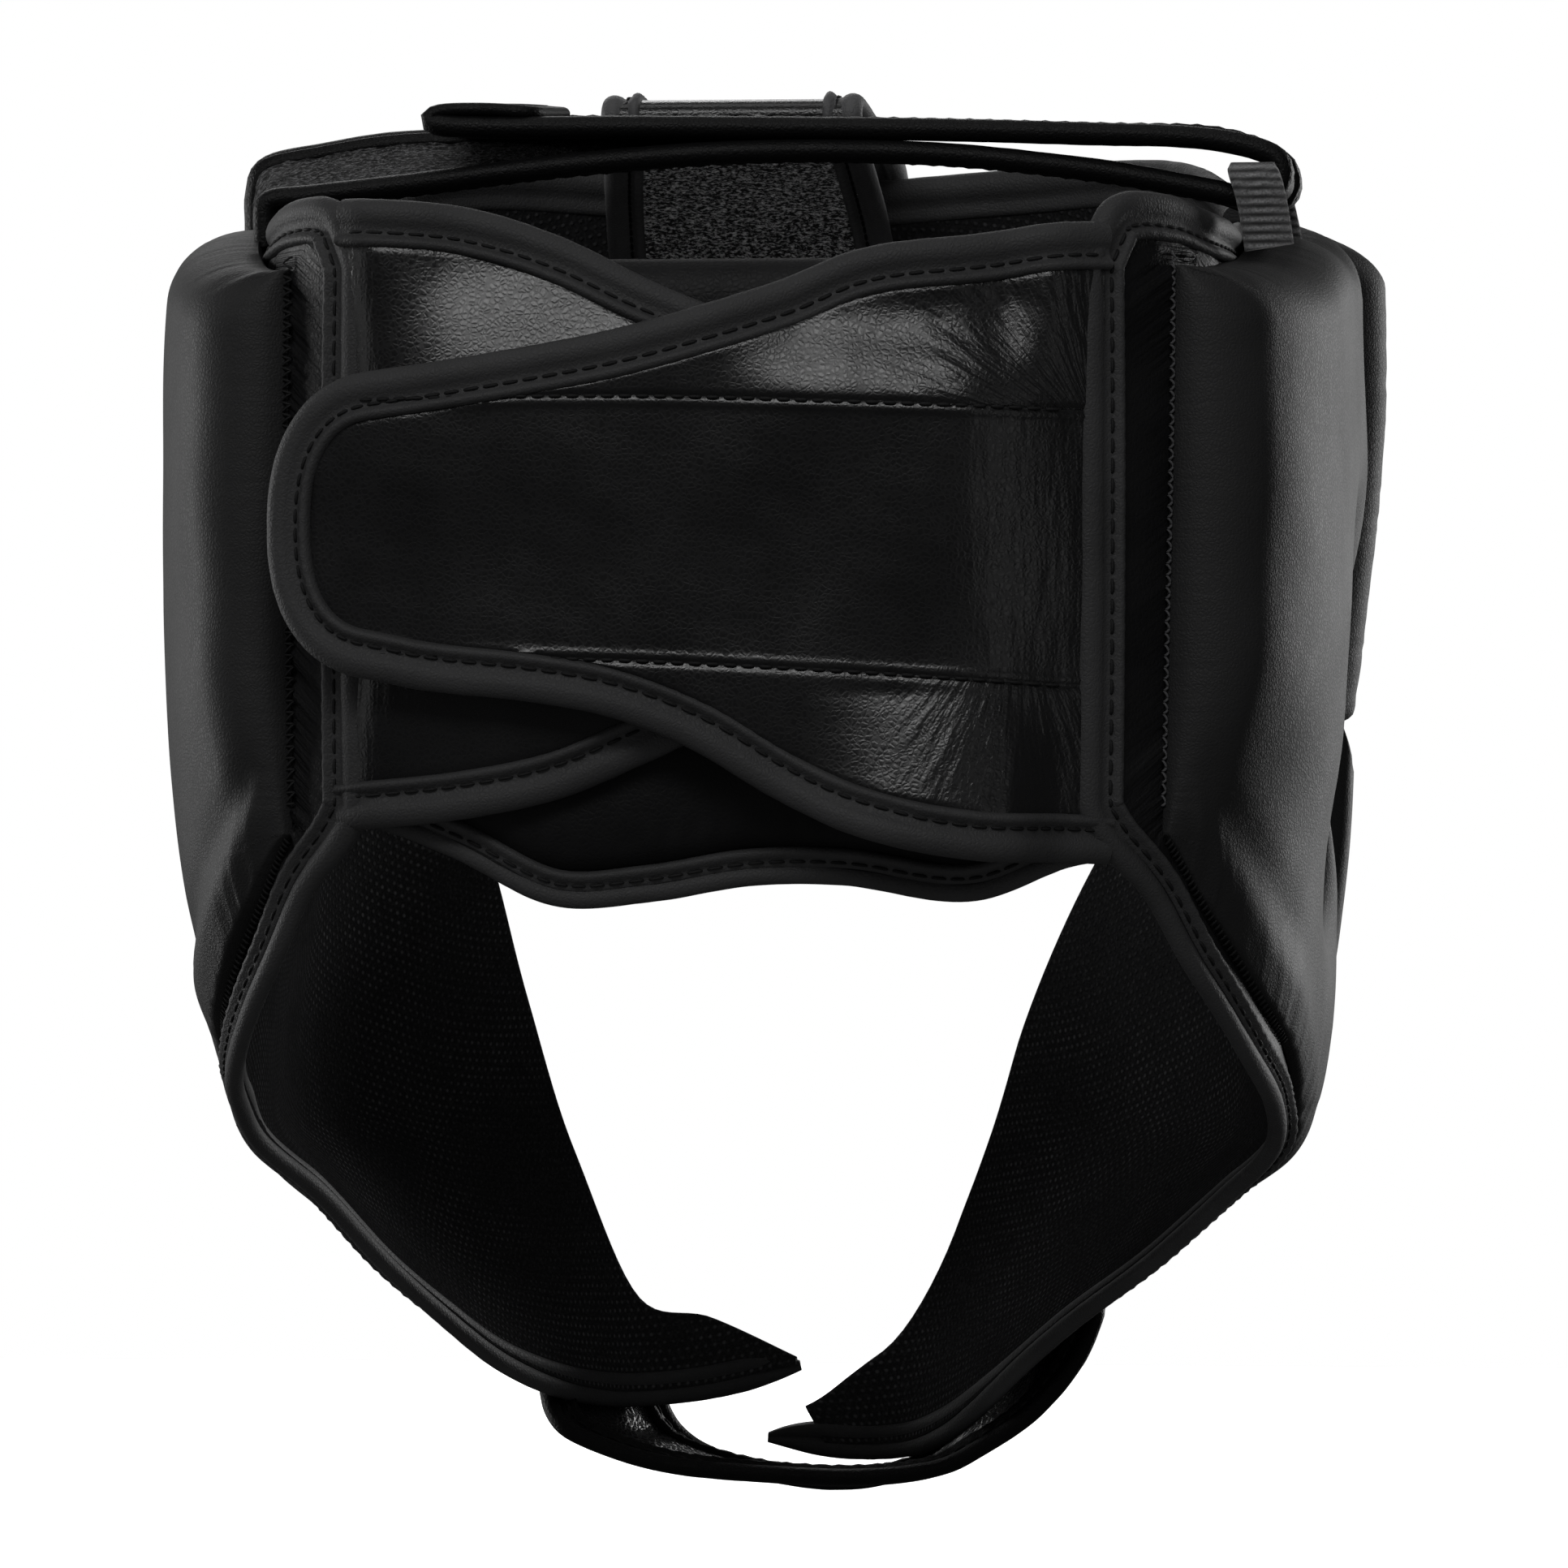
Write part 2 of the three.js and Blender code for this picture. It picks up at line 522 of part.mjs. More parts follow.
// Upper and lower edge of a closure strap at a width, moved in by a margin
function closureEdges(curve, end, x, margin) {
  const row = curve(x);
  const past = (x - end.from) / (end.to - end.from - Math.sign(end.to - end.from) * margin);
  const middle = (row.top + row.low) / 2;
  const half = (row.top - row.low) / 2 - margin;
  const rounded = past > 0 ? Math.max(0.06, 1 - Math.min(past, 1) ** 2.4) ** (1 / 2.4) : 1;
  return { top: middle + half * rounded, low: middle - half * rounded, y: row.y };
}

function closureStrap(rows, end) {
  const curve = tableCurve(rows, "x");
  const margin = 2 * STRAP_BINDING_RADIUS + BINDING_GAP;
  const tip = end.to - Math.sign(end.to - end.from) * margin;
  const face = (out) => (x, across) => {
    const edge = closureEdges(curve, end, x, margin);
    return new THREE.Vector3(x, edge.y + out, lerp(edge.low, edge.top, across));
  };
  const lines = [...evenLines(rows[0].x, end.from, 12), ...evenLines(end.from, tip, 5).slice(1)];
  return sheet(lines, evenLines(0, 1, 4), face(STRAP_THICKNESS / 2), face(-STRAP_THICKNESS / 2));
}

function closureBinding(rows, end) {
  const curve = tableCurve(rows, "x");
  const tip = end.to - Math.sign(end.to - end.from) * STRAP_BINDING_RADIUS;
  const lines = [...evenLines(rows[0].x, end.from, 8), ...evenLines(end.from, tip, 5).slice(1)];
  const edge = (x, name) => {
    const at = closureEdges(curve, end, x, STRAP_BINDING_RADIUS);
    return new THREE.Vector3(x, at.y, at[name]);
  };
  const path = [...lines.map((x) => edge(x, "top")), ...lines.toReversed().map((x) => edge(x, "low"))];
  return rolledEdge(path, STRAP_BINDING_RADIUS, 32);
}

add("rear_wing", closureStrap(REAR_WING_ROWS, REAR_WING_END), leather);
add("rear_wing_binding", closureBinding(REAR_WING_ROWS, REAR_WING_END), rolledLeather);
add("rear_strap", closureStrap(REAR_STRAP_ROWS, REAR_STRAP_END), leather);
add("rear_strap_binding", closureBinding(REAR_STRAP_ROWS, REAR_STRAP_END), rolledLeather);

// Strap over the crown with its binding, and the elastic bridge it folds round

const crossAt = rowCurve(CROSS_STRAP_ROWS);
const crossLast = CROSS_STRAP_ROWS.length - 1;

// A place on the strap: share runs from its rear edge to its front edge, out lies along its thickness
function crossPlace(row, share, out) {
  const here = crossAt(row);
  const before = crossAt(Math.max(0, row - 0.05));
  const after = crossAt(Math.min(crossLast, row + 0.05));
  const rising = lerp(after.rearZ - before.rearZ, after.frontZ - before.frontZ, share);
  const running = lerp(after.rearX - before.rearX, after.frontX - before.frontX, share);
  const length = Math.hypot(rising, running);
  const x = lerp(here.rearX, here.frontX, share) - (out * rising) / length;
  const z = lerp(here.rearZ, here.frontZ, share) + (out * running) / length;
  return new THREE.Vector3(x, lerp(CROSS_STRAP_Y.rear, CROSS_STRAP_Y.front, share), z);
}

function crossStrap() {
  const width = CROSS_STRAP_Y.rear - CROSS_STRAP_Y.front;
  const margin = (2 * STRAP_BINDING_RADIUS + BINDING_GAP) / width;
  const face = (out) => (row, share) => crossPlace(row, lerp(margin, 1 - margin, share), out);
  const lines = evenLines(0, crossLast - 0.75, 40);
  return sheet(lines, evenLines(0, 1, 1), face(STRAP_THICKNESS / 2), face(-STRAP_THICKNESS / 2));
}

function crossBinding() {
  const margin = STRAP_BINDING_RADIUS / (CROSS_STRAP_Y.rear - CROSS_STRAP_Y.front);
  const rows = evenLines(0, crossLast - 0.35, 48);
  const rearEdge = rows.map((row) => crossPlace(row, margin, 0));
  const end = [0.12, 0.3, 0.5, 0.7, 0.88].map((share) => crossPlace(crossLast - 0.21, share, 0));
  const frontEdge = rows.toReversed().map((row) => crossPlace(row, 1 - margin, 0));
  return rolledEdge([...rearEdge, ...end, ...frontEdge], STRAP_BINDING_RADIUS, 72);
}

function elasticLoop() {
  const { x, halfWidth, thickness, rearY, frontY, footZ, topZ } = ELASTIC;
  const outline = new THREE.Shape();
  outline.moveTo(rearY + thickness, footZ);
  outline.lineTo(rearY + thickness, topZ - 2);
  outline.quadraticCurveTo(rearY + thickness, topZ, rearY - 2, topZ);
  outline.lineTo(frontY + 2, topZ);
  outline.quadraticCurveTo(frontY - thickness, topZ, frontY - thickness, topZ - 2);
  outline.lineTo(frontY - thickness, footZ);
  outline.lineTo(frontY, footZ);
  outline.lineTo(frontY, topZ - thickness - 1);
  outline.lineTo(frontY + 2, topZ - thickness);
  outline.lineTo(rearY - 2, topZ - thickness);
  outline.lineTo(rearY, topZ - thickness - 1);
  outline.lineTo(rearY, footZ);
  outline.closePath();
  const tape = new THREE.ExtrudeGeometry(outline, { depth: 2 * halfWidth, bevelEnabled: false, curveSegments: 5 });
  tape.rotateX(Math.PI / 2).rotateZ(Math.PI / 2).translate(x - halfWidth, 0, 0);
  return closed(tape);
}

add("cross_strap", crossStrap(), leather);
add("cross_strap_binding", crossBinding(), rolledLeather);
add("elastic_loop", elasticLoop(), webbing);

// Front strap and its two bound edges

const frontAt = rowCurve(FRONT_STRAP_ROWS);
const frontLast = FRONT_STRAP_ROWS.length - 1;

function frontPlace(row, x, out) {
  const here = frontAt(row);
  const before = frontAt(Math.max(0, row - 0.05));
  const after = frontAt(Math.min(frontLast, row + 0.05));
  const running = after.y - before.y;
  const rising = after.z - before.z;
  const length = Math.hypot(running, rising);
  return new THREE.Vector3(x, here.y - (out * rising) / length, here.z + (out * running) / length);
}

function frontStrap() {
  const margin = 2 * STRAP_BINDING_RADIUS + BINDING_GAP;
  const across = evenLines(FRONT_STRAP_X.right + margin, FRONT_STRAP_X.left - margin, 1);
  const face = (out) => (row, x) => frontPlace(row, x, out);
  return sheet(evenLines(0, frontLast, 30), across, face(STRAP_THICKNESS / 2), face(-STRAP_THICKNESS / 2));
}

function frontBinding(x) {
  const path = evenLines(0, frontLast, 42).map((row) => frontPlace(row, x, 0));
  return rolledEdge(path, STRAP_BINDING_RADIUS, 26);
}

add("front_strap", frontStrap(), leather);
add("front_strap_binding_left", frontBinding(FRONT_STRAP_X.left - STRAP_BINDING_RADIUS), rolledLeather);
add("front_strap_binding_right", frontBinding(FRONT_STRAP_X.right + STRAP_BINDING_RADIUS), rolledLeather);

// Chin strap and its two bound edges

const CHIN_BINDING_RADIUS = 1.8;
const chinAt = rowCurve(CHIN_STRAP_ROWS);
const chinLast = CHIN_STRAP_ROWS.length - 1;

function chinPlace(row, share, out) {
  const edge = (at, name) => {
    const here = chinAt(clamp(at, 0, chinLast));
    return new THREE.Vector3(here[`${name}X`], here[`${name}Y`], here[`${name}Z`]);
  };
  const at = (place) => edge(place, "rear").lerp(edge(place, "front"), share);
  const along = at(row + 0.05).sub(at(row - 0.05));
  const across = edge(row, "front").sub(edge(row, "rear"));
  return at(row).addScaledVector(along.cross(across).normalize(), out);
}

function chinStrap() {
  const margin = 0.15;
  const face = (out) => (row, share) => chinPlace(row, lerp(margin, 1 - margin, share), out);
  const lines = evenLines(0, chinLast, 20);
  return sheet(lines, evenLines(0, 1, 2), face(STRAP_THICKNESS / 2), face(-STRAP_THICKNESS / 2));
}

function chinBinding(share) {
  const path = evenLines(0, chinLast, 24).map((row) => chinPlace(row, share, 0));
  return rolledEdge(path, CHIN_BINDING_RADIUS, 20);
}

add("chin_strap", chinStrap(), leather);
add("chin_strap_binding_rear", chinBinding(0.05), rolledLeather);
add("chin_strap_binding_front", chinBinding(0.95), rolledLeather);

export default group;
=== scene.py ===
import math

import bpy
import numpy as np
from mathutils import Matrix, Vector


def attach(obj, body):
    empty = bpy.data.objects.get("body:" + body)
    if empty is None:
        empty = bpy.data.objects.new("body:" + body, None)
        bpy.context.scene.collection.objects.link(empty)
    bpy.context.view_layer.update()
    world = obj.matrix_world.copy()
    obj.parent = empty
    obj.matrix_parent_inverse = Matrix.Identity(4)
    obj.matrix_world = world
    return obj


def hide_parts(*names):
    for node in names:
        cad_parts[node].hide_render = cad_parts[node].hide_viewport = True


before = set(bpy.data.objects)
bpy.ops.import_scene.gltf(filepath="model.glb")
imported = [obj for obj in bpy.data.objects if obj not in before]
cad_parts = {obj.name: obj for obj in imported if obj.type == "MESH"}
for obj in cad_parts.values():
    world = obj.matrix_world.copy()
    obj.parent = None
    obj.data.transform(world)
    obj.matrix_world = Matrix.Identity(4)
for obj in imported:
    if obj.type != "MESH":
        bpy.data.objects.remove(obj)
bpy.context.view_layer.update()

# Viewpoint and studio
# The headgear is seen level from behind, a little from the wearer's right, through a long lens.
# It is held up over a pale floor, in soft light from above, from behind, from the front and from both sides.
scene = bpy.context.scene
scene.view_settings.view_transform = "Standard"
VIEW_YAW = math.radians(5.5)
VIEW_DISTANCE = 1.5
VIEW_SIDE_STEP = 0.0019
SENSOR_WIDTH = 36.0
FOCAL_PIXELS = 10500.0
FRAME_PIXELS = 1932.0
BACKDROP_LEVEL = 1.0
FILL_LEVEL = 0.28
GLOSS_LEVEL = 0.03
FLOOR_HEIGHT = -0.15
FLOOR_CORNERS = ((-0.9, -0.7), (0.9, -0.7), (0.9, 0.9), (-0.9, 0.9))
FLOOR_GLOW = 0.75

look = np.array([math.sin(VIEW_YAW), -math.cos(VIEW_YAW), 0.0])
rightward = np.array([-math.cos(VIEW_YAW), -math.sin(VIEW_YAW), 0.0])
eye = VIEW_SIDE_STEP * rightward - VIEW_DISTANCE * look
camera_data = bpy.data.cameras.new("camera")
camera_data.sensor_width = SENSOR_WIDTH
camera_data.lens = SENSOR_WIDTH * FOCAL_PIXELS / FRAME_PIXELS
camera = bpy.data.objects.new("camera", camera_data)
camera.matrix_world = Matrix((
    (rightward[0], 0.0, -look[0], eye[0]),
    (rightward[1], 0.0, -look[1], eye[1]),
    (0.0, 1.0, 0.0, 0.0),
    (0.0, 0.0, 0.0, 1.0),
))
scene.collection.objects.link(camera)
scene.camera = camera


def soft_box(name, place, aim, width, height, power):
    light = bpy.data.lights.new(name, "AREA")
    light.shape = "RECTANGLE"
    light.size = width
    light.size_y = height
    light.energy = power
    lamp = bpy.data.objects.new(name, light)
    lamp.location = place
    lamp.rotation_euler = (Vector(aim) - Vector(place)).to_track_quat("-Z", "Y").to_euler()
    scene.collection.objects.link(lamp)


soft_box("light_above", (0.0, -0.1, 1.2), (0.0, 0.0, 0.0), 1.0, 0.5, 1.8)
soft_box("light_behind", (0.2, 1.12, 0.88), (0.0, 0.1, 0.05), 1.4, 0.3, 8.0)
soft_box("light_front", (0.35, -1.2, 0.8), (0.0, 0.0, 0.0), 0.9, 0.5, 4.0)
soft_box("light_left", (1.2, -0.45, -0.05), (0.0, 0.0, 0.0), 0.5, 1.1, 12.0)
soft_box("light_left_rear", (1.25, 0.5, 0.1), (0.0, 0.0, 0.0), 0.4, 1.0, 0.6)
soft_box("light_right", (-0.9, -0.96, 0.05), (0.0, 0.0, 0.0), 0.4, 1.0, 11.6)
soft_box("light_right_rear", (-1.0, 1.0, 0.05), (0.0, 0.0, 0.0), 0.3, 0.8, 0.4)

world = bpy.data.worlds.new("studio")
scene.world = world
world.use_nodes = True
world_nodes = world.node_tree.nodes
world_links = world.node_tree.links
world_nodes.clear()
rays = world_nodes.new("ShaderNodeLightPath")


def even_light(level):
    made = world_nodes.new("ShaderNodeBackground")
    made.inputs["Color"].default_value = (level, level, level, 1.0)
    return made.outputs[0]


def light_choice(ray, otherwise, chosen):
    """One light for one kind of ray, and another light for all others."""
    made = world_nodes.new("ShaderNodeMixShader")
    world_links.new(rays.outputs[ray], made.inputs[0])
    world_links.new(otherwise, made.inputs[1])
    world_links.new(chosen, made.inputs[2])
    return made.outputs[0]


matte_or_gloss = light_choice("Is Diffuse Ray", even_light(GLOSS_LEVEL), even_light(FILL_LEVEL))
backdrop_or_light = light_choice("Is Camera Ray", matte_or_gloss, even_light(BACKDROP_LEVEL))
world_out = world_nodes.new("ShaderNodeOutputWorld")
world_links.new(backdrop_or_light, world_out.inputs["Surface"])

floor_mesh = bpy.data.meshes.new("floor")
floor_mesh.from_pydata([(x, y, FLOOR_HEIGHT) for x, y in FLOOR_CORNERS], [], [(0, 1, 2, 3)])
floor = bpy.data.objects.new("floor", floor_mesh)
scene.collection.objects.link(floor)
floor_paint = bpy.data.materials.new("floor_paint")
floor_paint.use_nodes = True
floor_shader = floor_paint.node_tree.nodes["Principled BSDF"]
floor_shader.inputs["Base Color"].default_value = (0.9, 0.9, 0.9, 1.0)
floor_shader.inputs["Roughness"].default_value = 0.9
floor_shader.inputs["Emission Color"].default_value = (1.0, 1.0, 1.0, 1.0)
floor_shader.inputs["Emission Strength"].default_value = FLOOR_GLOW
floor_mesh.materials.append(floor_paint)
floor.visible_diffuse = False
floor.visible_glossy = False

# Side panels
# Each is a panel of black grained leather on the outside and dotted mesh lining on the inside, 3 mm through.
# It starts at a flange behind the head, passes the ear, and narrows along the jaw to a flap under the chin.
MM = 0.001
HEAD_FORM = (  # height, half width, reach to the front, reach to the rear
    (-134, 38, 80, 40), (-111, 46, 82, 50), (-97, 57, 83, 60), (-84, 69, 84, 71), (-71, 79.4, 85.5, 80),
    (-62, 87.2, 86.6, 85.6), (-55, 88.4, 87.4, 88.4), (-44, 88, 88, 91), (-21, 85, 89.5, 94),
    (16, 82, 91, 96), (66, 81, 91, 96), (116, 79, 89, 95))
SIDE_STATIONS = (  # station, low angle, low height, top angle, top height, foam, low taper
    (0, 33, -6, 33, 90, 8, 20), (1, 36.5, -13, 37.5, 97.8, 9, 20), (2, 41, -21, 43.8, 98.6, 11, 24),
    (3, 46.8, -35, 52, 97, 15, 44), (4, 57, -50, 65, 96.5, 17.8, 58), (5, 71, -59.6, 80, 96, 19, 68),
    (6, 87, -70.3, 96, 96.5, 19.5, 70), (7, 102, -80.3, 110, 96.5, 18.5, 66),
    (8, 110, -86.3, 112.7, 46, 18, 60), (9, 118, -92.2, 115, 8.2, 19, 60), (10, 128, -99.4, 137, 7.8, 18, 56),
    (11, 138, -106.4, 145, -12, 12, 46), (12, 148, -111.6, 151.2, -40, 10, 34),
    (13, 156, -114.5, 156, -68, 7, 18), (14, 163, -115.5, 162.8, -94.5, 4, 10),
    (15, 172, -114.4, 172, -98.8, 3, 10), (16, 183.5, -110.4, 183.5, -106.4, 3, 10))
REAR_SQUARE = 4.0
FRONT_SQUARE = 3.0
CHIN_SWAY = 8.0
RIGHT_FLAP_DROP = 10.5
RIGHT_FLAP_TRIM = 6.0
RIGHT_FLAP_TURN = 4.0
PANEL_END = {1: 15.95, -1: 15.0}
ROLL_END = {1: 16.0, -1: 15.65}
PANEL_THICKNESS = 3.2
ROLL_RADIUS = 3.0
HEM_COVER = (6.8, 8.2)
TUCK = 0.45
OPEN_TOP = 7.3
PLEAT_DEPTH = 0.7
PLEAT_PITCH = 5.2
EAR_MIDDLE = (2.0, 8.0)
EAR_HALF = (20.0, 30.0)
EAR_CUT_REACH = (60.0, 135.0)
EAR_CUT_POINTS = 72
PAD_STATIONS = (2.0, 7.25)
PAD_LOW_MARGIN = 12.5
PAD_TOP_MARGIN = (12.5, 7.8)
FLANGE_STATION_RUN = 8.4
FRONT_STATION_RUN = 15.0


def smooth_rows(rows, places):
    """The columns of a table at places along its first column, on the smooth curve through its rows."""
    table = np.array(sorted(rows), float)
    keys, values = table[:, 0], table[:, 1:]
    spot = np.clip(np.asarray(places, float), keys[0], keys[-1])
    after = np.clip(np.searchsorted(keys, spot, side="right"), 1, len(keys) - 1)
    before = after - 1
    first = before == 0
    last = after == len(keys) - 1
    earlier = np.where(first, after, before - 1)
    later = np.where(last, before, np.minimum(after + 1, len(keys) - 1))
    step = keys[after] - keys[before]
    pull_back = np.where(first, -0.5, step / 2 / np.where(first, 1, keys[before] - keys[earlier]))
    pull_on = np.where(last, -0.5, step / 2 / np.where(last, 1, keys[later] - keys[after]))
    t = (spot - keys[before]) / step
    t2 = t * t
    t3 = t2 * t
    parts = (
        (-pull_back * t3 + 2 * pull_back * t2 - pull_back * t, earlier),
        ((1 + pull_back) * t3 + (-1.5 - 2 * pull_back) * t2 + (pull_back - 0.5) * t + 1, before),
        ((-1 - pull_on) * t3 + (1.5 + pull_on) * t2 + 0.5 * t, after),
        (pull_on * t3 - pull_on * t2, later))
    return np.moveaxis(sum(weight[..., None] * values[row] for weight, row in parts), -1, 0)


def ease(value, low, high):
    t = np.clip((value - low) / (high - low), 0.0, 1.0)
    return t * t * (3 - 2 * t)


def blend(a, b, share):
    return a + (b - a) * share


def soft_ramp(run):
    """Rises evenly from 0 and levels off at 1 without a crease."""
    return np.minimum(np.maximum(run, 0.0) - np.clip(run - 0.7, 0.0, 0.6) ** 2 / 1.2, 1.0)


def quarter_round(run):
    return np.sqrt(np.maximum(0.0, 1 - (1 - np.clip(run, 0.0, 1.0)) ** 2))


def unit(vectors):
    return vectors / np.maximum(np.linalg.norm(vectors, axis=-1, keepdims=True), 1e-9)


def unevenness(points, size, seed):
    """Soft irregular swells of about that size in millimetres, between about -1 and 1."""
    rng = np.random.default_rng(seed)
    total = np.zeros(points.shape[:-1])
    for _ in range(14):
        wave = unit(rng.normal(size=3)) * 2 * math.pi / (size * rng.uniform(0.7, 1.9))
        total += np.sin(points @ wave + rng.uniform(0, 2 * math.pi))
    return total / 4.2


def pleats(along, spacing, seed):
    """Irregular gathers along a seam, between about -1 and 1."""
    turn = 2 * math.pi * along / spacing
    uneven = 1.4 * np.sin(turn / 3.7 + seed) + 0.8 * np.sin(turn / 1.9 + 2.3 * seed)
    return np.sin(turn + uneven) * (0.62 + 0.38 * np.sin(turn / 5.3 + 1.7 * seed))


def head_form(angle, z):
    half, front, rear = smooth_rows(HEAD_FORM, z)
    across = np.sin(np.radians(angle))
    along = np.cos(np.radians(angle))
    square = np.where(along > 0, REAR_SQUARE, FRONT_SQUARE)
    reach = np.where(along > 0, rear, front)
    radius = (np.abs(across / half) ** square + np.abs(along / reach) ** square) ** (-1 / square)
    sway = CHIN_SWAY * (1 - ease(z, -50, 30)) * ease(np.abs(angle), 80, 140)
    return np.stack([radius * across + sway, radius * along, z + 0 * radius], -1)


def outside_form(angle, z, out):
    angle, z, out = np.broadcast_arrays(*(np.asarray(value, float) for value in (angle, z, out)))
    around = head_form(angle + 0.5, z) - head_form(angle - 0.5, z)
    upward = head_form(angle, z + 0.5) - head_form(angle, z - 0.5)
    return head_form(angle, z) + unit(np.cross(upward, around)) * out[..., None]


def side_place(side, station, across, out):
    low_angle, low_z, top_angle, top_z, _, _ = smooth_rows(SIDE_STATIONS, station)
    right_side = 1.0 if side < 0 else 0.0
    drop = right_side * RIGHT_FLAP_DROP * ease(station, 9, 15.5)
    trim = right_side * RIGHT_FLAP_TRIM * ease(station, 14.1, 15.0)
    z = blend(low_z, top_z - trim, across) - drop
    wider = right_side * RIGHT_FLAP_TURN * across * ease(station, 13.2, 14.6)
    return outside_form(side * (blend(low_angle, top_angle, across) + wider), z, out)


def station_length(side, station):
    ends = side_place(side, station, 0.0, 0.0) - side_place(side, station, 1.0, 0.0)
    return np.linalg.norm(ends, axis=-1)


def edge_lines(count, crowd=0.55):
    """Lines from 0 to 1 that lie closer together at both ends."""
    t = np.linspace(0.0, 1.0, count)
    return (1 - crowd) * t + crowd * (0.5 - 0.5 * np.cos(math.pi * t))


def add_piece(name, points, faces, materials, face_slots=None, lay=None, crease=50.0, seam=None):
    """One mesh piece from points in millimetres. lay holds each point's place on the flat material.
    seam holds each point's place along and off the nearest seam, and how much the leather gathers there."""
    mesh = bpy.data.meshes.new(name)
    mesh.from_pydata((np.asarray(points) * MM).tolist(), [], [list(face) for face in faces])
    for material in materials:
        mesh.materials.append(material)
    if face_slots is not None:
        mesh.polygons.foreach_set("material_index", np.asarray(face_slots, np.int32))
    if lay is not None:
        flat = mesh.uv_layers.new(name="lay")
        corners = np.empty(len(mesh.loops), np.int32)
        mesh.loops.foreach_get("vertex_index", corners)
        flat.data.foreach_set("uv", (np.asarray(lay)[corners] * MM).astype(np.float32).ravel())
    if seam is not None:
        gathers = mesh.attributes.new("gather", "FLOAT", "POINT")
        gathers.data.foreach_set("value", np.asarray(seam[1], np.float32))
        drawn = mesh.uv_layers.new(name="seam")
        drawn.data.foreach_set("uv", (np.asarray(seam[0])[corners] * MM).astype(np.float32).ravel())
    mesh.shade_smooth()
    mesh.set_sharp_from_angle(angle=math.radians(crease))
    piece = bpy.data.objects.new(name, mesh)
    scene.collection.objects.link(piece)
    return piece


def facing_out(points, faces):
    corners = points[faces[:, :3]]
    volume = np.einsum("ij,ij->i", corners[:, 0], np.cross(corners[:, 1], corners[:, 2])).sum()
    return faces if volume > 0 else faces[:, ::-1]


def add_sheet(name, outer, inner, materials, crease=50.0, seam=None, lined_rows=None):
    """A closed sheet between two grids of points. Its outer face takes the first material.
    Its inner face takes the last, or only as many rows of it as are lined."""
    rows, columns = outer.shape[:2]
    count = rows * columns
    grid = np.arange(count).reshape(rows, columns)
    front = np.stack([grid[:-1, :-1], grid[1:, :-1], grid[1:, 1:], grid[:-1, 1:]], -1).reshape(-1, 4)
    back = front[:, ::-1] + count
    rim = np.concatenate([grid[:, 0], grid[-1, 1:], grid[-2::-1, -1], grid[0, -2:0:-1]])
    ahead = np.roll(rim, -1)
    wall = np.stack([ahead, rim, rim + count, ahead + count], -1)
    points = np.concatenate([outer.reshape(-1, 3), inner.reshape(-1, 3)])
    faces = facing_out(points, np.concatenate([front, back, wall]))
    slots = np.zeros(len(faces), int)
    lined = len(front) if lined_rows is None else lined_rows * (columns - 1)
    slots[len(front):len(front) + lined] = len(materials) - 1
    along = np.zeros((rows, columns))
    along[1:] = np.cumsum(np.linalg.norm(np.diff(outer, axis=0), axis=-1), axis=0)
    across = np.zeros((rows, columns))
    across[:, 1:] = np.cumsum(np.linalg.norm(np.diff(outer, axis=1), axis=-1), axis=1)
    lay = np.stack([along.mean(axis=1, keepdims=True) + 0 * across, across], -1).reshape(-1, 2)
    if seam is not None:
        drawn = np.stack([seam[0], seam[1]], -1).reshape(-1, 2)
        seam = (np.concatenate([drawn, drawn]), np.concatenate([seam[2].ravel(), np.zeros(count)]))
    return add_piece(name, points, faces, materials, slots, np.concatenate([lay, lay]), crease, seam)


def new_finish(name):
    finish = bpy.data.materials.new(name)
    finish.use_nodes = True
    return finish, finish.node_tree.nodes, finish.node_tree.links, finish.node_tree.nodes["Principled BSDF"]


def worked_out(nodes, links, operation, *terms):
    """The result of one sum on sockets and plain numbers."""
    made = nodes.new("ShaderNodeMath")
    made.operation = operation
    for index, term in enumerate(terms):
        if isinstance(term, (int, float)):
            made.inputs[index].default_value = term
        else:
            links.new(term, made.inputs[index])
    return made.outputs[0]


def connect_bump(nodes, links, shader, heights):
    """Adds up height sockets, each with its height in millimetres, and feeds the shader's normal."""
    total = 0.0
    for socket, height in heights:
        total = worked_out(nodes, links, "MULTIPLY_ADD", socket, height, total)
    bump = nodes.new("ShaderNodeBump")
    bump.inputs["Distance"].default_value = MM
    bump.inputs["Strength"].default_value = 1.0
    links.new(total, bump.inputs["Height"])
    links.new(bump.outputs[0], shader.inputs["Normal"])


def noise(nodes, links, source, scale, detail=3.0, roughness=0.55):
    made = nodes.new("ShaderNodeTexNoise")
    made.inputs["Scale"].default_value = scale
    made.inputs["Detail"].default_value = detail
    made.inputs["Roughness"].default_value = roughness
    links.new(source, made.inputs["Vector"])
    return made.outputs["Fac"]


def spread(nodes, links, socket, low, high, from_low=0.3, from_high=0.7):
    """A socket's values mapped onto a range."""
    made = nodes.new("ShaderNodeMapRange")
    made.inputs["From Min"].default_value = from_low
    made.inputs["From Max"].default_value = from_high
    made.inputs["To Min"].default_value = low
    made.inputs["To Max"].default_value = high
    links.new(socket, made.inputs["Value"])
    return made.outputs["Result"]


def tinted(nodes, links, share, dark, light):
    made = nodes.new("ShaderNodeMix")
    made.data_type = "RGBA"
    made.inputs["A"].default_value = (*dark, 1.0)
    made.inputs["B"].default_value = (*light, 1.0)
    links.new(share, made.inputs["Factor"])
    return made.outputs["Result"]


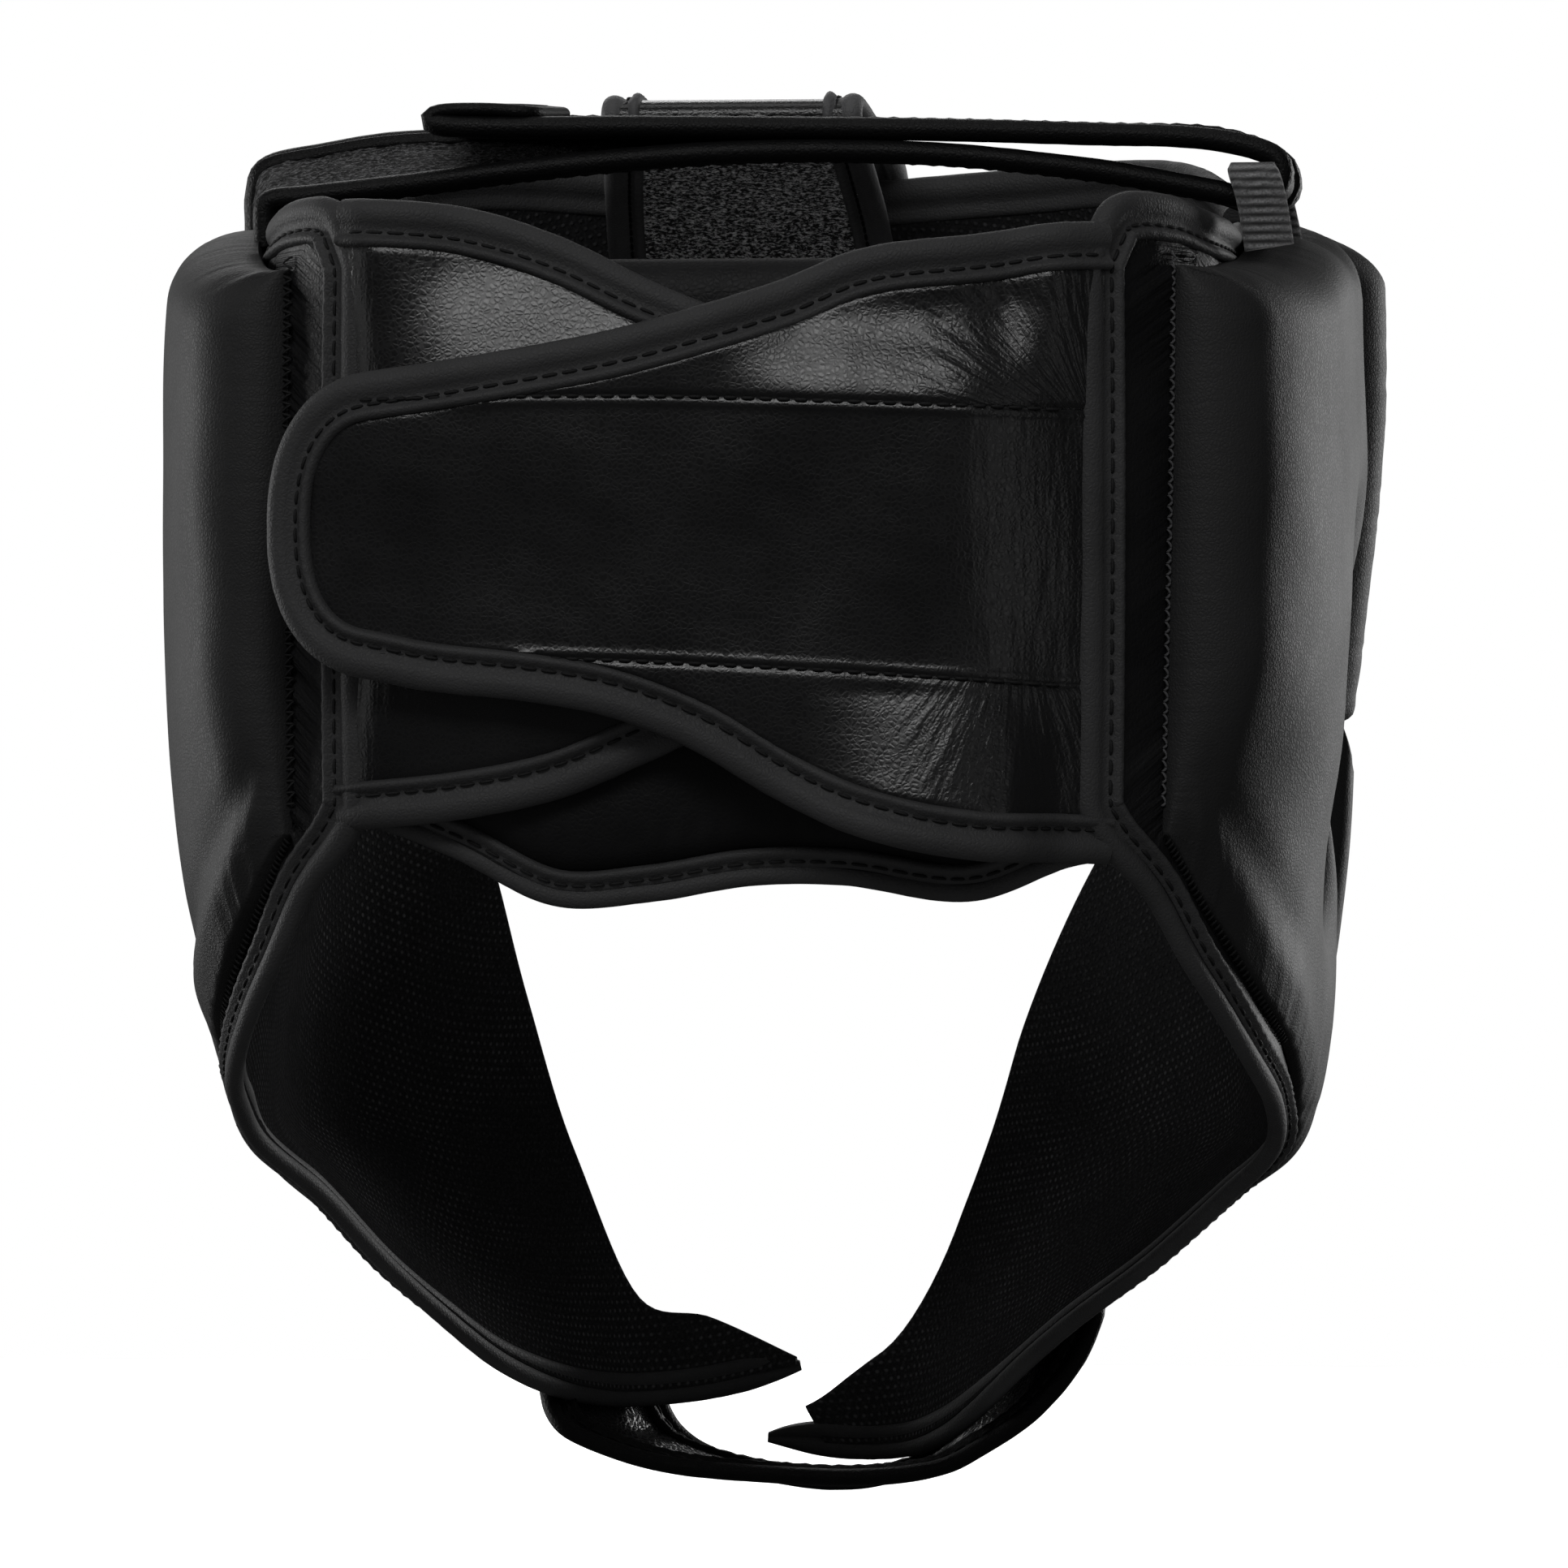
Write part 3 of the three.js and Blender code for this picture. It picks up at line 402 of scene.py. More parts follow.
def leather_finish(name, dark, light, roughness, grain_size, grain_depth, wrinkle_depth, gather_depth=0.5,
                   shine=0.5):
    """Dyed leather: pebbled grain, finer pores, soft wrinkles, gathers drawn out from the seams, and a gloss
    that varies with handling. The depths are in millimetres."""
    finish, nodes, links, shader = new_finish(name)
    place = nodes.new("ShaderNodeTexCoord").outputs["Object"]
    pebble = nodes.new("ShaderNodeTexVoronoi")
    pebble.feature = "DISTANCE_TO_EDGE"
    pebble.inputs["Scale"].default_value = 1.0 / grain_size
    pebble.inputs["Randomness"].default_value = 0.95
    bent = nodes.new("ShaderNodeVectorMath")
    bent.operation = "MULTIPLY_ADD"
    wobble = nodes.new("ShaderNodeTexNoise")
    wobble.inputs["Scale"].default_value = 420.0
    links.new(place, wobble.inputs["Vector"])
    links.new(wobble.outputs["Color"], bent.inputs[0])
    bent.inputs[1].default_value = (0.0012, 0.0012, 0.0012)
    links.new(place, bent.inputs[2])
    links.new(bent.outputs[0], pebble.inputs["Vector"])
    domed = spread(nodes, links, pebble.outputs["Distance"], 0.0, 1.0, 0.0, 0.28)
    pores = noise(nodes, links, place, 2600.0, 2.0)
    wrinkles = noise(nodes, links, place, 170.0, 4.0, 0.6)
    patches = noise(nodes, links, place, 38.0, 3.0)
    dye = tinted(nodes, links, spread(nodes, links, patches, 0.0, 1.0), dark, light)
    links.new(dye, shader.inputs["Base Color"])
    handled = spread(nodes, links, patches, roughness - 0.03, roughness + 0.03)
    polished = spread(nodes, links, domed, 0.06, -0.03, 0.0, 1.0)
    links.new(worked_out(nodes, links, "ADD", handled, polished), shader.inputs["Roughness"])
    shader.inputs["Specular IOR Level"].default_value = shine
    seam_lay = nodes.new("ShaderNodeUVMap")
    seam_lay.uv_map = "seam"
    drawn_out = nodes.new("ShaderNodeMapping")
    drawn_out.inputs["Scale"].default_value = (560.0, 95.0, 1.0)
    links.new(seam_lay.outputs[0], drawn_out.inputs["Vector"])
    pull = nodes.new("ShaderNodeAttribute")
    pull.attribute_name = "gather"
    puckers = noise(nodes, links, drawn_out.outputs[0], 1.0, 2.5, 0.55)
    gathered = worked_out(nodes, links, "MULTIPLY", puckers, pull.outputs["Fac"])
    connect_bump(nodes, links, shader, (
        (domed, grain_depth), (pores, 0.3 * grain_depth), (wrinkles, wrinkle_depth),
        (gathered, gather_depth)))
    return finish


def mesh_lining_finish(name, pitch, dark, light):
    """Knitted mesh lining: staggered raised dots over a dark cloth, laid out on the flat of the panel."""
    finish, nodes, links, shader = new_finish(name)
    coords = nodes.new("ShaderNodeTexCoord")
    place = coords.outputs["Object"]

    def sums(operation, *terms):
        return worked_out(nodes, links, operation, *terms)

    split = nodes.new("ShaderNodeSeparateXYZ")
    links.new(coords.outputs["UV"], split.inputs[0])
    along = sums("MULTIPLY", split.outputs["X"], 1.0 / pitch)
    across = sums("MULTIPLY", split.outputs["Y"], 1.0 / (pitch * 0.9))
    shift = sums("MULTIPLY", sums("FLOORED_MODULO", sums("FLOOR", across), 2.0), 0.5)
    from_dot = sums("SUBTRACT", sums("FRACT", sums("ADD", along, shift)), 0.5)
    from_row = sums("SUBTRACT", sums("FRACT", across), 0.5)
    off = sums("SQRT", sums("ADD", sums("POWER", from_dot, 2.0), sums("POWER", from_row, 2.0)))
    dot = spread(nodes, links, off, 1.0, 0.0, 0.12, 0.3)
    fibres = noise(nodes, links, place, 1900.0, 3.0)
    uneven = noise(nodes, links, place, 240.0, 2.0)
    worn = noise(nodes, links, place, 48.0, 2.0)
    raised = sums("MULTIPLY", dot, spread(nodes, links, uneven, 0.25, 1.0))
    lit = sums("MULTIPLY_ADD", raised, spread(nodes, links, worn, 0.2, 1.0, 0.35, 0.62),
               spread(nodes, links, fibres, 0.0, 0.2, 0.45, 0.7))
    links.new(tinted(nodes, links, lit, dark, light), shader.inputs["Base Color"])
    shader.inputs["Roughness"].default_value = 0.95
    shader.inputs["Specular IOR Level"].default_value = 0.0
    connect_bump(nodes, links, shader, ((dot, 0.22), (fibres, 0.1)))
    return finish


panel_leather = leather_finish(
    "panel_leather", (0.0045, 0.0045, 0.0048), (0.008, 0.008, 0.0084), roughness=0.48, grain_size=0.001,
    grain_depth=0.04, wrinkle_depth=0.08, gather_depth=1.5, shine=0.12)
LINING_PITCH = 0.0018
dotted_lining = mesh_lining_finish(
    "dotted_lining", LINING_PITCH, (0.0105, 0.0105, 0.0108), (0.058, 0.058, 0.0595))


def pad_top_margin(station):
    return blend(PAD_TOP_MARGIN[0], PAD_TOP_MARGIN[1], ease(station, 2, 4))


def pad_margin(side, station, across):
    """Millimetres from a place on the side panel out to the seam of its pad, less than 0 under the pad."""
    length = station_length(side, station)
    low = PAD_LOW_MARGIN - across * length
    top = pad_top_margin(station) - (1 - across) * length
    rear = (PAD_STATIONS[0] - station) * FLANGE_STATION_RUN
    front = (station - PAD_STATIONS[1]) * FRONT_STATION_RUN
    return np.maximum(np.maximum(low, top), np.maximum(rear, front))


def ear_oval(count, grow):
    """Places round the ear hole, rearward and height."""
    turn = np.linspace(0, 2 * math.pi, count, endpoint=False)
    y = EAR_MIDDLE[0] + (EAR_HALF[0] + grow) * np.cos(turn)
    z = EAR_MIDDLE[1] + (EAR_HALF[1] + grow) * np.sin(turn)
    return y, z


def ear_cutter(side, grow):
    """A plug of the ear hole's shape, from inside the panel to outside the pad."""
    y, z = ear_oval(EAR_CUT_POINTS, grow)
    near, far = (np.stack([side * reach + 0 * y, y, z], -1) for reach in EAR_CUT_REACH)
    ring = np.arange(EAR_CUT_POINTS)
    ahead = np.roll(ring, -1)
    walls = np.stack([ring, ahead, ahead + EAR_CUT_POINTS, ring + EAR_CUT_POINTS], -1)
    points = np.concatenate([near, far])
    faces = facing_out(points, walls)
    flipped = faces[0][0] != walls[0][0]
    lids = [ring, ring[::-1] + EAR_CUT_POINTS] if flipped else [ring[::-1], ring + EAR_CUT_POINTS]
    return add_piece("ear_cutter", points, [*faces, *lids], [])


def cut_ear(piece, side, grow):
    """Cuts the ear hole through a piece."""
    cutter = ear_cutter(side, grow)
    hole = piece.modifiers.new("ear_hole", "BOOLEAN")
    hole.operation = "DIFFERENCE"
    hole.solver = "EXACT"
    hole.object = cutter
    bpy.context.view_layer.update()
    whole = piece.data
    cut = piece.evaluated_get(bpy.context.evaluated_depsgraph_get())
    piece.data = bpy.data.meshes.new_from_object(cut)
    piece.modifiers.clear()
    bpy.data.meshes.remove(whole)
    bpy.data.objects.remove(cutter)


def side_panel(side, name):
    """One side panel. It gathers along the seam of its pad and is sunk where the hem of its binding lies."""
    stations = np.concatenate([np.linspace(0.42, 3, 56), np.linspace(3, PANEL_END[side], 116)[1:]])
    station, share = np.meshgrid(stations, edge_lines(90, 0.4), indexing="ij")
    length = station_length(side, station)
    bound_top = blend(ROLL_RADIUS, 0.3, ease(station, 7.0, 7.6))
    across = blend(ROLL_RADIUS / length, 1 - bound_top / length, share)
    place = side_place(side, station, across, PANEL_THICKNESS)
    margin = pad_margin(side, station, across)
    height = place[..., 2]
    slack = 1.0 if side > 0 else 0.25
    slack = np.minimum(1.0, slack + ease(height, 62, 84) + ease(height, 14, -6))
    gather = slack * ease(margin, -3.0, 0.0) * np.exp(-np.maximum(margin, 0) / 5.0) * ease(margin, 10.0, 6.0)
    gather *= ease(station, OPEN_TOP, 7.0) * blend(1.0, 0.05, ease(height, -8, -24))
    along = np.where(station < 2.6, height, 9.0 * station) + 0.8 * margin
    out = PANEL_THICKNESS + gather * PLEAT_DEPTH * pleats(along, PLEAT_PITCH, 1.0 + side)
    out += 0.15 * unevenness(place, 17, 3)
    top_gap = np.where(station > 7.2, length, (1 - across) * length)
    edge_gap = np.minimum(np.minimum(across * length, top_gap), station * FLANGE_STATION_RUN - 0.6)
    clear = ease(edge_gap, *HEM_COVER)
    out = out * clear + (PANEL_THICKNESS - TUCK) * (1 - clear)
    folded = 0.6 + 0.5 * unevenness(place, 34, 9)
    edge = np.minimum(quarter_round((1 - share) * length / 2.0), 1.0)
    rolled_in = np.where(station > OPEN_TOP, 1.4 * (1 - edge), 0.0)
    outer = side_place(side, station, across, out - rolled_in)
    inner = side_place(side, station, across, 0.15 * folded + rolled_in)
    panel = add_sheet(
        f"{name}_side_panel", outer, inner, [panel_leather, dotted_lining], seam=(along, margin, gather))
    cut_ear(panel, side, 0.0)
    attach(panel, "root")
    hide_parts(f"side_base_{name}")


side_panel(1, "left")
side_panel(-1, "right")

# Side pads
# Blocks of foam under smooth matte leather, sewn on outside the side panels with a zigzag seam.
# They swell above their top seam, slope down to the jaw, thin round the ear, and gather along every seam.
PAD_SEAT = 3.3
PAD_EDGE = 1.6
PAD_MARGINS = 21.0
PAD_STATION_RUN = 8.6
PAD_DOME = {1: 8.5, -1: 7.0}
DOME_START = {1: 2.0, -1: 3.4}
LOBE = {1: 0.8, -1: 0.45}
EAR_PAD_GAP = 3.0

pad_leather = leather_finish(
    "pad_leather", (0.0088, 0.0088, 0.009), (0.0115, 0.0115, 0.0119), roughness=0.6, grain_size=0.0007,
    grain_depth=0.035, wrinkle_depth=0.02, gather_depth=0.6, shine=0.26)


def side_pad(side, name):
    """One side pad: foam with eased edges, pulled in along its seams, with a slack fold above the jaw."""
    rear_end, front_end = PAD_STATIONS
    stations = blend(rear_end, front_end, edge_lines(120, 0.7))
    station, share = np.meshgrid(stations, edge_lines(120, 0.7), indexing="ij")
    length = station_length(side, station)
    across = blend(PAD_LOW_MARGIN / length, 1 - pad_top_margin(station) / length, share)
    seat = side_place(side, station, across, PAD_SEAT)
    height = seat[..., 2]
    _, _, _, _, foam, taper = smooth_rows(SIDE_STATIONS, station)
    low_run = share * (length - PAD_MARGINS)
    top_run = (1 - share) * (length - PAD_MARGINS)
    rear_run = (station - rear_end) * PAD_STATION_RUN
    low_slope = blend(0.1, 1.0, soft_ramp(low_run / (0.92 * taper))) * quarter_round(low_run / 6)
    front_edge = quarter_round((front_end - station) / 0.7)
    edges = quarter_round((station - rear_end) / 0.7) * front_edge * quarter_round(top_run / 11)
    ear_y = (seat[..., 1] - EAR_MIDDLE[0]) / (EAR_HALF[0] + EAR_PAD_GAP)
    ear_z = (height - EAR_MIDDLE[1]) / (EAR_HALF[1] + EAR_PAD_GAP)
    ear = blend(0.4, 1.0, quarter_round((np.hypot(ear_y, ear_z) - 1) / 0.55))
    out = PAD_SEAT + PAD_EDGE + (foam - PAD_EDGE) * low_slope * edges * ear
    low_along = station * 17 + low_run * 0.5
    top_along = station * 15 - top_run * 0.7
    pulls = 0.12 * np.exp(-rear_run / 2.0) * pleats(height, 3.2, 1.0)
    pulls += 0.3 * np.exp(-low_run / 4.5) * pleats(low_along, 5.2, 2.0)
    pulls += 0.4 * np.exp(-top_run / 3.0) * pleats(top_along, 4.6, 3.0)
    lobe = 1.1 * np.exp(-((low_run - 6.0) / 3.8) ** 2) - 0.9 * np.exp(-((low_run - 13.5) / 4.0) ** 2)
    lobe *= LOBE[side] * ease(station, 2.0, 2.4) * ease(station, 5.2, 4.2)
    nearest = np.minimum(np.minimum(low_run, top_run), rear_run)
    out += pulls * np.minimum(1.0, nearest / 0.8) + lobe + 0.30 * edges * unevenness(seat, 33, 21)
    along = np.where(nearest == rear_run, height, np.where(nearest == low_run, low_along, top_along))
    gather = np.where(nearest == rear_run, 0.2 * np.exp(-nearest / 1.3), 0.6 * np.exp(-nearest / 3.0))
    if side > 0:
        out += edges * (1.6 * np.exp(-((height + 19) / 16) ** 2) - 0.9 * np.exp(-((height - 28) / 18) ** 2))
    dome = PAD_DOME[side] * ease(share, 0.72, 1.0) * ease(station, DOME_START[side], 5) * front_edge
    outer = side_place(side, station, across, out)
    outer[..., 2] += dome
    pad = add_sheet(f"{name}_side_pad", outer, seat, [pad_leather], 60.0, (along, nearest, gather))
    cut_ear(pad, side, EAR_PAD_GAP)
    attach(pad, "root")
    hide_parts(f"side_pad_{name}")


side_pad(1, "left")
side_pad(-1, "right")


STITCH_RINGS = (  # share along the stitch, width and lift as shares of the thread's radius
    (-1.0, 0.35, -0.9), (-0.86, 0.8, -0.3), (-0.5, 1.0, 0.25), (0.0, 1.0, 0.4), (0.5, 1.0, 0.25),
    (0.86, 0.8, -0.3), (1.0, 0.35, -0.9))
STITCH_SIDES = 5


def lay_stitches(name, starts, ends, normals, radius, finish):
    """Threads that come up out of the leather, lie along it and go down again."""
    sides = STITCH_SIDES
    middle = (starts + ends) / 2
    half = (ends - starts) / 2
    across = unit(np.cross(half, normals))
    upright = unit(np.cross(across, half))
    rings = []
    for step, wide, up in STITCH_RINGS:
        core = middle + half * step + upright * radius * up
        for side in range(sides):
            turn = 2 * math.pi * side / sides
            rings.append(core + radius * wide * (across * math.cos(turn) + upright * math.sin(turn)))
    points = np.stack(rings, 1)
    each = points.shape[1]
    ring = np.arange(sides)
    ahead = np.roll(ring, -1)
    band = np.stack([ring, ahead, ahead + sides, ring + sides], -1)
    quads = np.concatenate([band + sides * k for k in range(len(STITCH_RINGS) - 1)])
    faces = []
    for k in range(len(points)):
        faces.extend((quads + each * k).tolist())
        faces.append((ring[::-1] + each * k).tolist())
        faces.append((ring + each * (k + 1) - sides).tolist())
    piece = add_piece(name, points.reshape(-1, 3), faces, [finish], crease=80.0)
    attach(piece, "root")


def thread_finish(name, colour):
    """Sewing thread: one dye, with fine uneven fibres in the height."""
    finish, nodes, links, shader = new_finish(name)
    place = nodes.new("ShaderNodeTexCoord").outputs["Object"]
    shader.inputs["Base Color"].default_value = (*colour, 1.0)
    shader.inputs["Roughness"].default_value = 0.75
    shader.inputs["Specular IOR Level"].default_value = 0.25
    connect_bump(nodes, links, shader, ((noise(nodes, links, place, 4200.0, 1.0), 0.06),))
    return finish


thread = thread_finish("thread", (0.006, 0.006, 0.0063))
# Painted highlights: the right zigzag's thread is the same as the left's, given a pale colour to paint in the
# glints on its stitches.
glint_painted_thread = thread_finish("glint_painted_thread", (0.05, 0.05, 0.052))
ZIGZAG_PITCH = 1.9
FLANGE_LENGTH = 118.0
ZIGZAG_STEP = ZIGZAG_PITCH / FLANGE_LENGTH
ZIGZAG_LIFT = PANEL_THICKNESS + 0.3
ZIGZAG_THREAD = 0.22
for side, name, near, far, yarn in ((1, "left", 1.9, 2.03, thread), (-1, "right", 1.95, 1.99, glint_painted_thread)):
    across = np.arange(0.14, 0.9, ZIGZAG_STEP)
    far_lift = PANEL_THICKNESS + (far - 1.9) * 10
    low_end = side_place(side, near + 0 * across, across, ZIGZAG_LIFT)
    high_end = side_place(side, far + 0 * across, across + 0.5 * ZIGZAG_STEP, far_lift)
    next_end = side_place(side, near + 0 * across, across + ZIGZAG_STEP, ZIGZAG_LIFT)
    facing = unit(side_place(side, near + 0 * across, across, 10.0) - low_end)
    lay_stitches(f"{name}_zigzag", np.concatenate([low_end, high_end]), np.concatenate([high_end, next_end]),
                 np.concatenate([facing, facing]), ZIGZAG_THREAD, yarn)

LOW_SEAM = 12.2
WHIP_HALF = 0.9
WHIP_THREAD = 0.24
for side, name in ((1, "left"), (-1, "right")):
    stations = np.linspace(2.05, 4.6, 46)
    length = station_length(side, stations)
    starts = side_place(side, stations, (LOW_SEAM - WHIP_HALF) / length, ZIGZAG_LIFT)
    ends = side_place(side, stations + 0.03, (LOW_SEAM + WHIP_HALF) / length, PANEL_THICKNESS + 1.6)
    facing = unit(side_place(side, stations, LOW_SEAM / length, 10.0) - starts)
    lay_stitches(f"{name}_whip", starts, ends, facing, WHIP_THREAD, thread)

# Cheek pads
# Thinner foam blocks under the same smooth leather, sewn on outside the cheeks from the temple to the chin.
# Their lower edge thins out towards the bound edge of the panel.
CHEEK_STATIONS = (8.3, 13.4)
CHEEK_LOW_MARGIN = 11.5
CHEEK_TOP_MARGIN = 1.0
CHEEK_MARGINS = 14.0
CHEEK_STATION_RUN = 12.0


def cheek_pad(side, name):
    rear_end, front_end = CHEEK_STATIONS
    stations = blend(rear_end, front_end, edge_lines(76, 0.6))
    station, share = np.meshgrid(stations, edge_lines(72, 0.6), indexing="ij")
    length = station_length(side, station)
    across = blend(CHEEK_LOW_MARGIN / length, 1 - CHEEK_TOP_MARGIN / length, share)
    seat = side_place(side, station, across, PAD_SEAT)
    _, _, _, _, foam, taper = smooth_rows(SIDE_STATIONS, station)
    low_run = share * (length - CHEEK_MARGINS)
    top_run = (1 - share) * (length - CHEEK_MARGINS)
    rear_run = (station - rear_end) * CHEEK_STATION_RUN
    slopes = soft_ramp(low_run / (0.92 * taper)) * quarter_round(low_run / 6) * quarter_round(top_run / 5)
    ends = quarter_round((station - rear_end) / 0.9) * quarter_round((front_end - station) / 1.2)
    out = PAD_SEAT + PAD_EDGE + (foam - PAD_EDGE) * slopes * ends
    fade = np.minimum(1.0, np.minimum(np.minimum(low_run, top_run), rear_run) / 0.8)
    pulls = 0.4 * np.exp(-low_run / 5.0) * pleats(station * 13, 4.8, 5.0)
    pulls += 0.35 * np.exp(-top_run / 4.0) * pleats(station * 14, 4.2, 6.0)
    out += pulls * np.maximum(fade, 0) + 0.3 * slopes * unevenness(seat, 30, 33)
    pad = add_sheet(f"{name}_cheek_pad", side_place(side, station, across, out), seat, [pad_leather], 60.0)
    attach(pad, "root")
    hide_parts(f"cheek_pad_{name}")


cheek_pad(1, "left")
cheek_pad(-1, "right")

# Bindings of the side panels
# A strip of smooth leather is rolled over a cord along the top, rear and lower edge. It is turned to the
# outside as a narrow raised hem, stitched down in the channel between them. The ear hole has a plain roll.
STITCH_PITCH = 3.3
THREAD_RADIUS = 0.3
PATH_STEP = 1.2
ROLL_POINTS = 15
HEM_POINTS = 8
EAR_ROLL = 2.6
EAR_ROLL_INSET = 2.3
binding_leather = leather_finish(
    "binding_leather", (0.02, 0.02, 0.0206), (0.028, 0.028, 0.0288), roughness=0.62, grain_size=0.0008,
    grain_depth=0.05, wrinkle_depth=0.1, shine=0.26)


def even_path(points, normals, step, soften):
    """A path laid out again at even steps with its corners eased over a length, and its normals with it."""
    run = np.concatenate([[0], np.cumsum(np.linalg.norm(np.diff(points, axis=0), axis=-1))])
    count = max(8, int(run[-1] / step))
    spots = np.linspace(0, run[-1], count)
    both = np.concatenate([points, normals], -1)
    laid = np.stack([np.interp(spots, run, both[:, k]) for k in range(6)], -1)
    reach = max(1, int(soften / step))
    bell = np.exp(-0.5 * (np.arange(-reach, reach + 1) / (reach / 2)) ** 2)
    bell /= bell.sum()
    before = 2 * laid[0] - laid[reach:0:-1]
    beyond = 2 * laid[-1] - laid[-2:-reach - 2:-1]
    padded = np.concatenate([before, laid, beyond])
    eased = np.stack([np.convolve(padded[:, k], bell, mode="valid") for k in range(6)], -1)
    return eased[:, :3], unit(eased[:, 3:])


def add_sweep(name, path, normals, inward, profile, materials, closed=False):
    """A profile of (inward, out) places carried along a path. inward is 1 or -1, for the side it lies on."""
    tangent = np.gradient(path, axis=0)
    if closed:
        tangent = np.roll(path, -1, axis=0) - np.roll(path, 1, axis=0)
    tangent = unit(tangent)
    lay = inward * unit(np.cross(normals, tangent))
    up = unit(np.cross(tangent, lay)) * inward
    profile = np.broadcast_to(np.asarray(profile, float), (len(path),) + np.shape(profile)[-2:])
    points = path[:, None] + lay[:, None] * profile[..., :1] + up[:, None] * profile[..., 1:]
    rows, columns = points.shape[:2]
    grid = np.arange(rows * columns).reshape(rows, columns)
    if closed:
        grid = np.concatenate([grid, grid[:1]])
    ahead = np.roll(grid, -1, axis=1)
    quads = np.stack([grid[:-1], grid[1:], ahead[1:], ahead[:-1]], -1).reshape(-1, 4)
    flat = points.reshape(-1, 3)
    sided = facing_out(flat, quads)
    faces = sided.tolist()
    if not closed:
        turned = sided[0][0] != quads[0][0]
        first = grid[0].tolist()
        last = grid[-1].tolist()
        faces += [first[::-1], last] if turned else [first, last[::-1]]
    return add_piece(name, flat, faces, materials, crease=70.0)


def roll_and_hem(radius, half):
    """Section of a bound edge: a roll, a low edge inside, and a raised hem beyond the stitched channel."""
    turn = np.radians(np.linspace(38, 322, ROLL_POINTS))
    roll = np.stack([radius * np.cos(turn), 0.88 * radius * np.sin(turn)], -1)
    low_edge = np.array([(0.3, -0.05), (1.4, -0.35), (2.3, -0.2), (2.6, 0.5)]) + (radius, -half)
    hem = np.array([(3.1, -0.5), (2.95, 0.25), (2.6, 0.85), (2.1, 1.1),
                    (1.55, 0.9), (1.15, 0.3), (0.6, -0.02), (0.05, 0.0)]) + (radius, half)
    return np.concatenate([roll, low_edge, hem])


def sampled(places, run, rows):
    """Points of a path at places along its run."""
    return np.stack([np.interp(places, run, rows[:, k]) for k in range(3)], -1)


def bound_edge(name, points, normals, inward, radius, half, nodes, soften=5.0, tip=0.0,
               finish=binding_leather, slim=None):
    """A bound edge along a path, with its stitches. slim gives the roll's share of its width, and the roll
    tapers over the length of its tip."""
    path, facing = even_path(points, normals, PATH_STEP, soften)
    run = np.arange(len(path)) * PATH_STEP
    share = np.ones(len(path)) if slim is None else slim(path)
    thinnest = roll_and_hem(radius / 2, half)
    section = blend(thinnest, roll_and_hem(radius, half), (2 * share - 1)[:, None, None])
    section[:, :ROLL_POINTS] *= (1 + 0.018 * np.sin(run / 9.0) + 0.014 * pleats(run, 6.1, 4.0))[:, None, None]
    section *= (1 - 0.72 * np.clip((run - run[-1] + tip) / max(tip, 0.1), 0, 1) ** 2)[:, None, None]
    over_hem = np.sin(np.linspace(0, math.pi, HEM_POINTS))
    section[:, -HEM_POINTS:, 1] += 0.13 * np.cos(2 * math.pi * run / STITCH_PITCH)[:, None] * over_hem
    piece = add_sweep(name, path, facing, inward, section, [finish])
    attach(piece, "root")
    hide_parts(*nodes)
    tangent = unit(np.gradient(path, axis=0))
    lay = inward * unit(np.cross(facing, tangent))
    seam = path + lay * (radius * share + 0.55)[:, None] + facing * (half + 0.12)
    starts = np.arange(2.0, run[-1] - tip - 4.0, STITCH_PITCH)
    begin = sampled(starts, run, seam)
    end = sampled(starts + STITCH_PITCH * 0.8, run, seam)
    up = sampled(starts + STITCH_PITCH * 0.4, run, facing)
    lay_stitches(f"{name}_stitches", begin, end, up, THREAD_RADIUS, thread)


def side_slim(points):
    """The roll is thinner along the jaw than along the flange."""
    return 0.86 - 0.24 * ease(points[:, 2], -4, -20)


def side_edge(side, station, across):
    middle = side_place(side, station, across, PANEL_THICKNESS / 2)
    return middle, unit(side_place(side, station, across, 6.0) - middle)


for side, name in ((1, "left"), (-1, "right")):
    top_stations = np.linspace(6.8, 0.9, 120)
    low_stations = np.linspace(0.9, ROLL_END[side], 300)
    flange = np.linspace(0.93, 0.04, 80)
    jaw_inset = ROLL_RADIUS * blend(1.0, 0.7, ease(low_stations, 5.0, 9.0))
    runs = (
        side_edge(side, top_stations, 1 - ROLL_RADIUS / station_length(side, top_stations)),
        side_edge(side, 0.4 + 0 * flange, flange),
        side_edge(side, low_stations, jaw_inset / station_length(side, low_stations)))
    points = np.concatenate([run[0] for run in runs])
    normals = np.concatenate([run[1] for run in runs])
    bound_edge(f"{name}_side_roll", points, normals, -side, ROLL_RADIUS, PANEL_THICKNESS / 2,
               [f"side_binding_{name}"], soften=2.6, tip=13.0, slim=side_slim)
    y, z = ear_oval(120, -EAR_ROLL_INSET)
    half, _, _ = smooth_rows(HEAD_FORM, z)
    rim = np.stack([side * (half + PANEL_THICKNESS / 2), y, z], -1)
    facing = np.broadcast_to([float(side), 0.0, 0.0], rim.shape)
    ring = np.radians(np.linspace(0, 360, 18, endpoint=False))
    round_section = EAR_ROLL * np.stack([np.cos(ring), np.sin(ring)], -1)
    ear = add_sweep(f"{name}_ear_roll", rim, facing, 1, round_section, [binding_leather], True)
    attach(ear, "root")
    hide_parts(f"ear_binding_{name}")

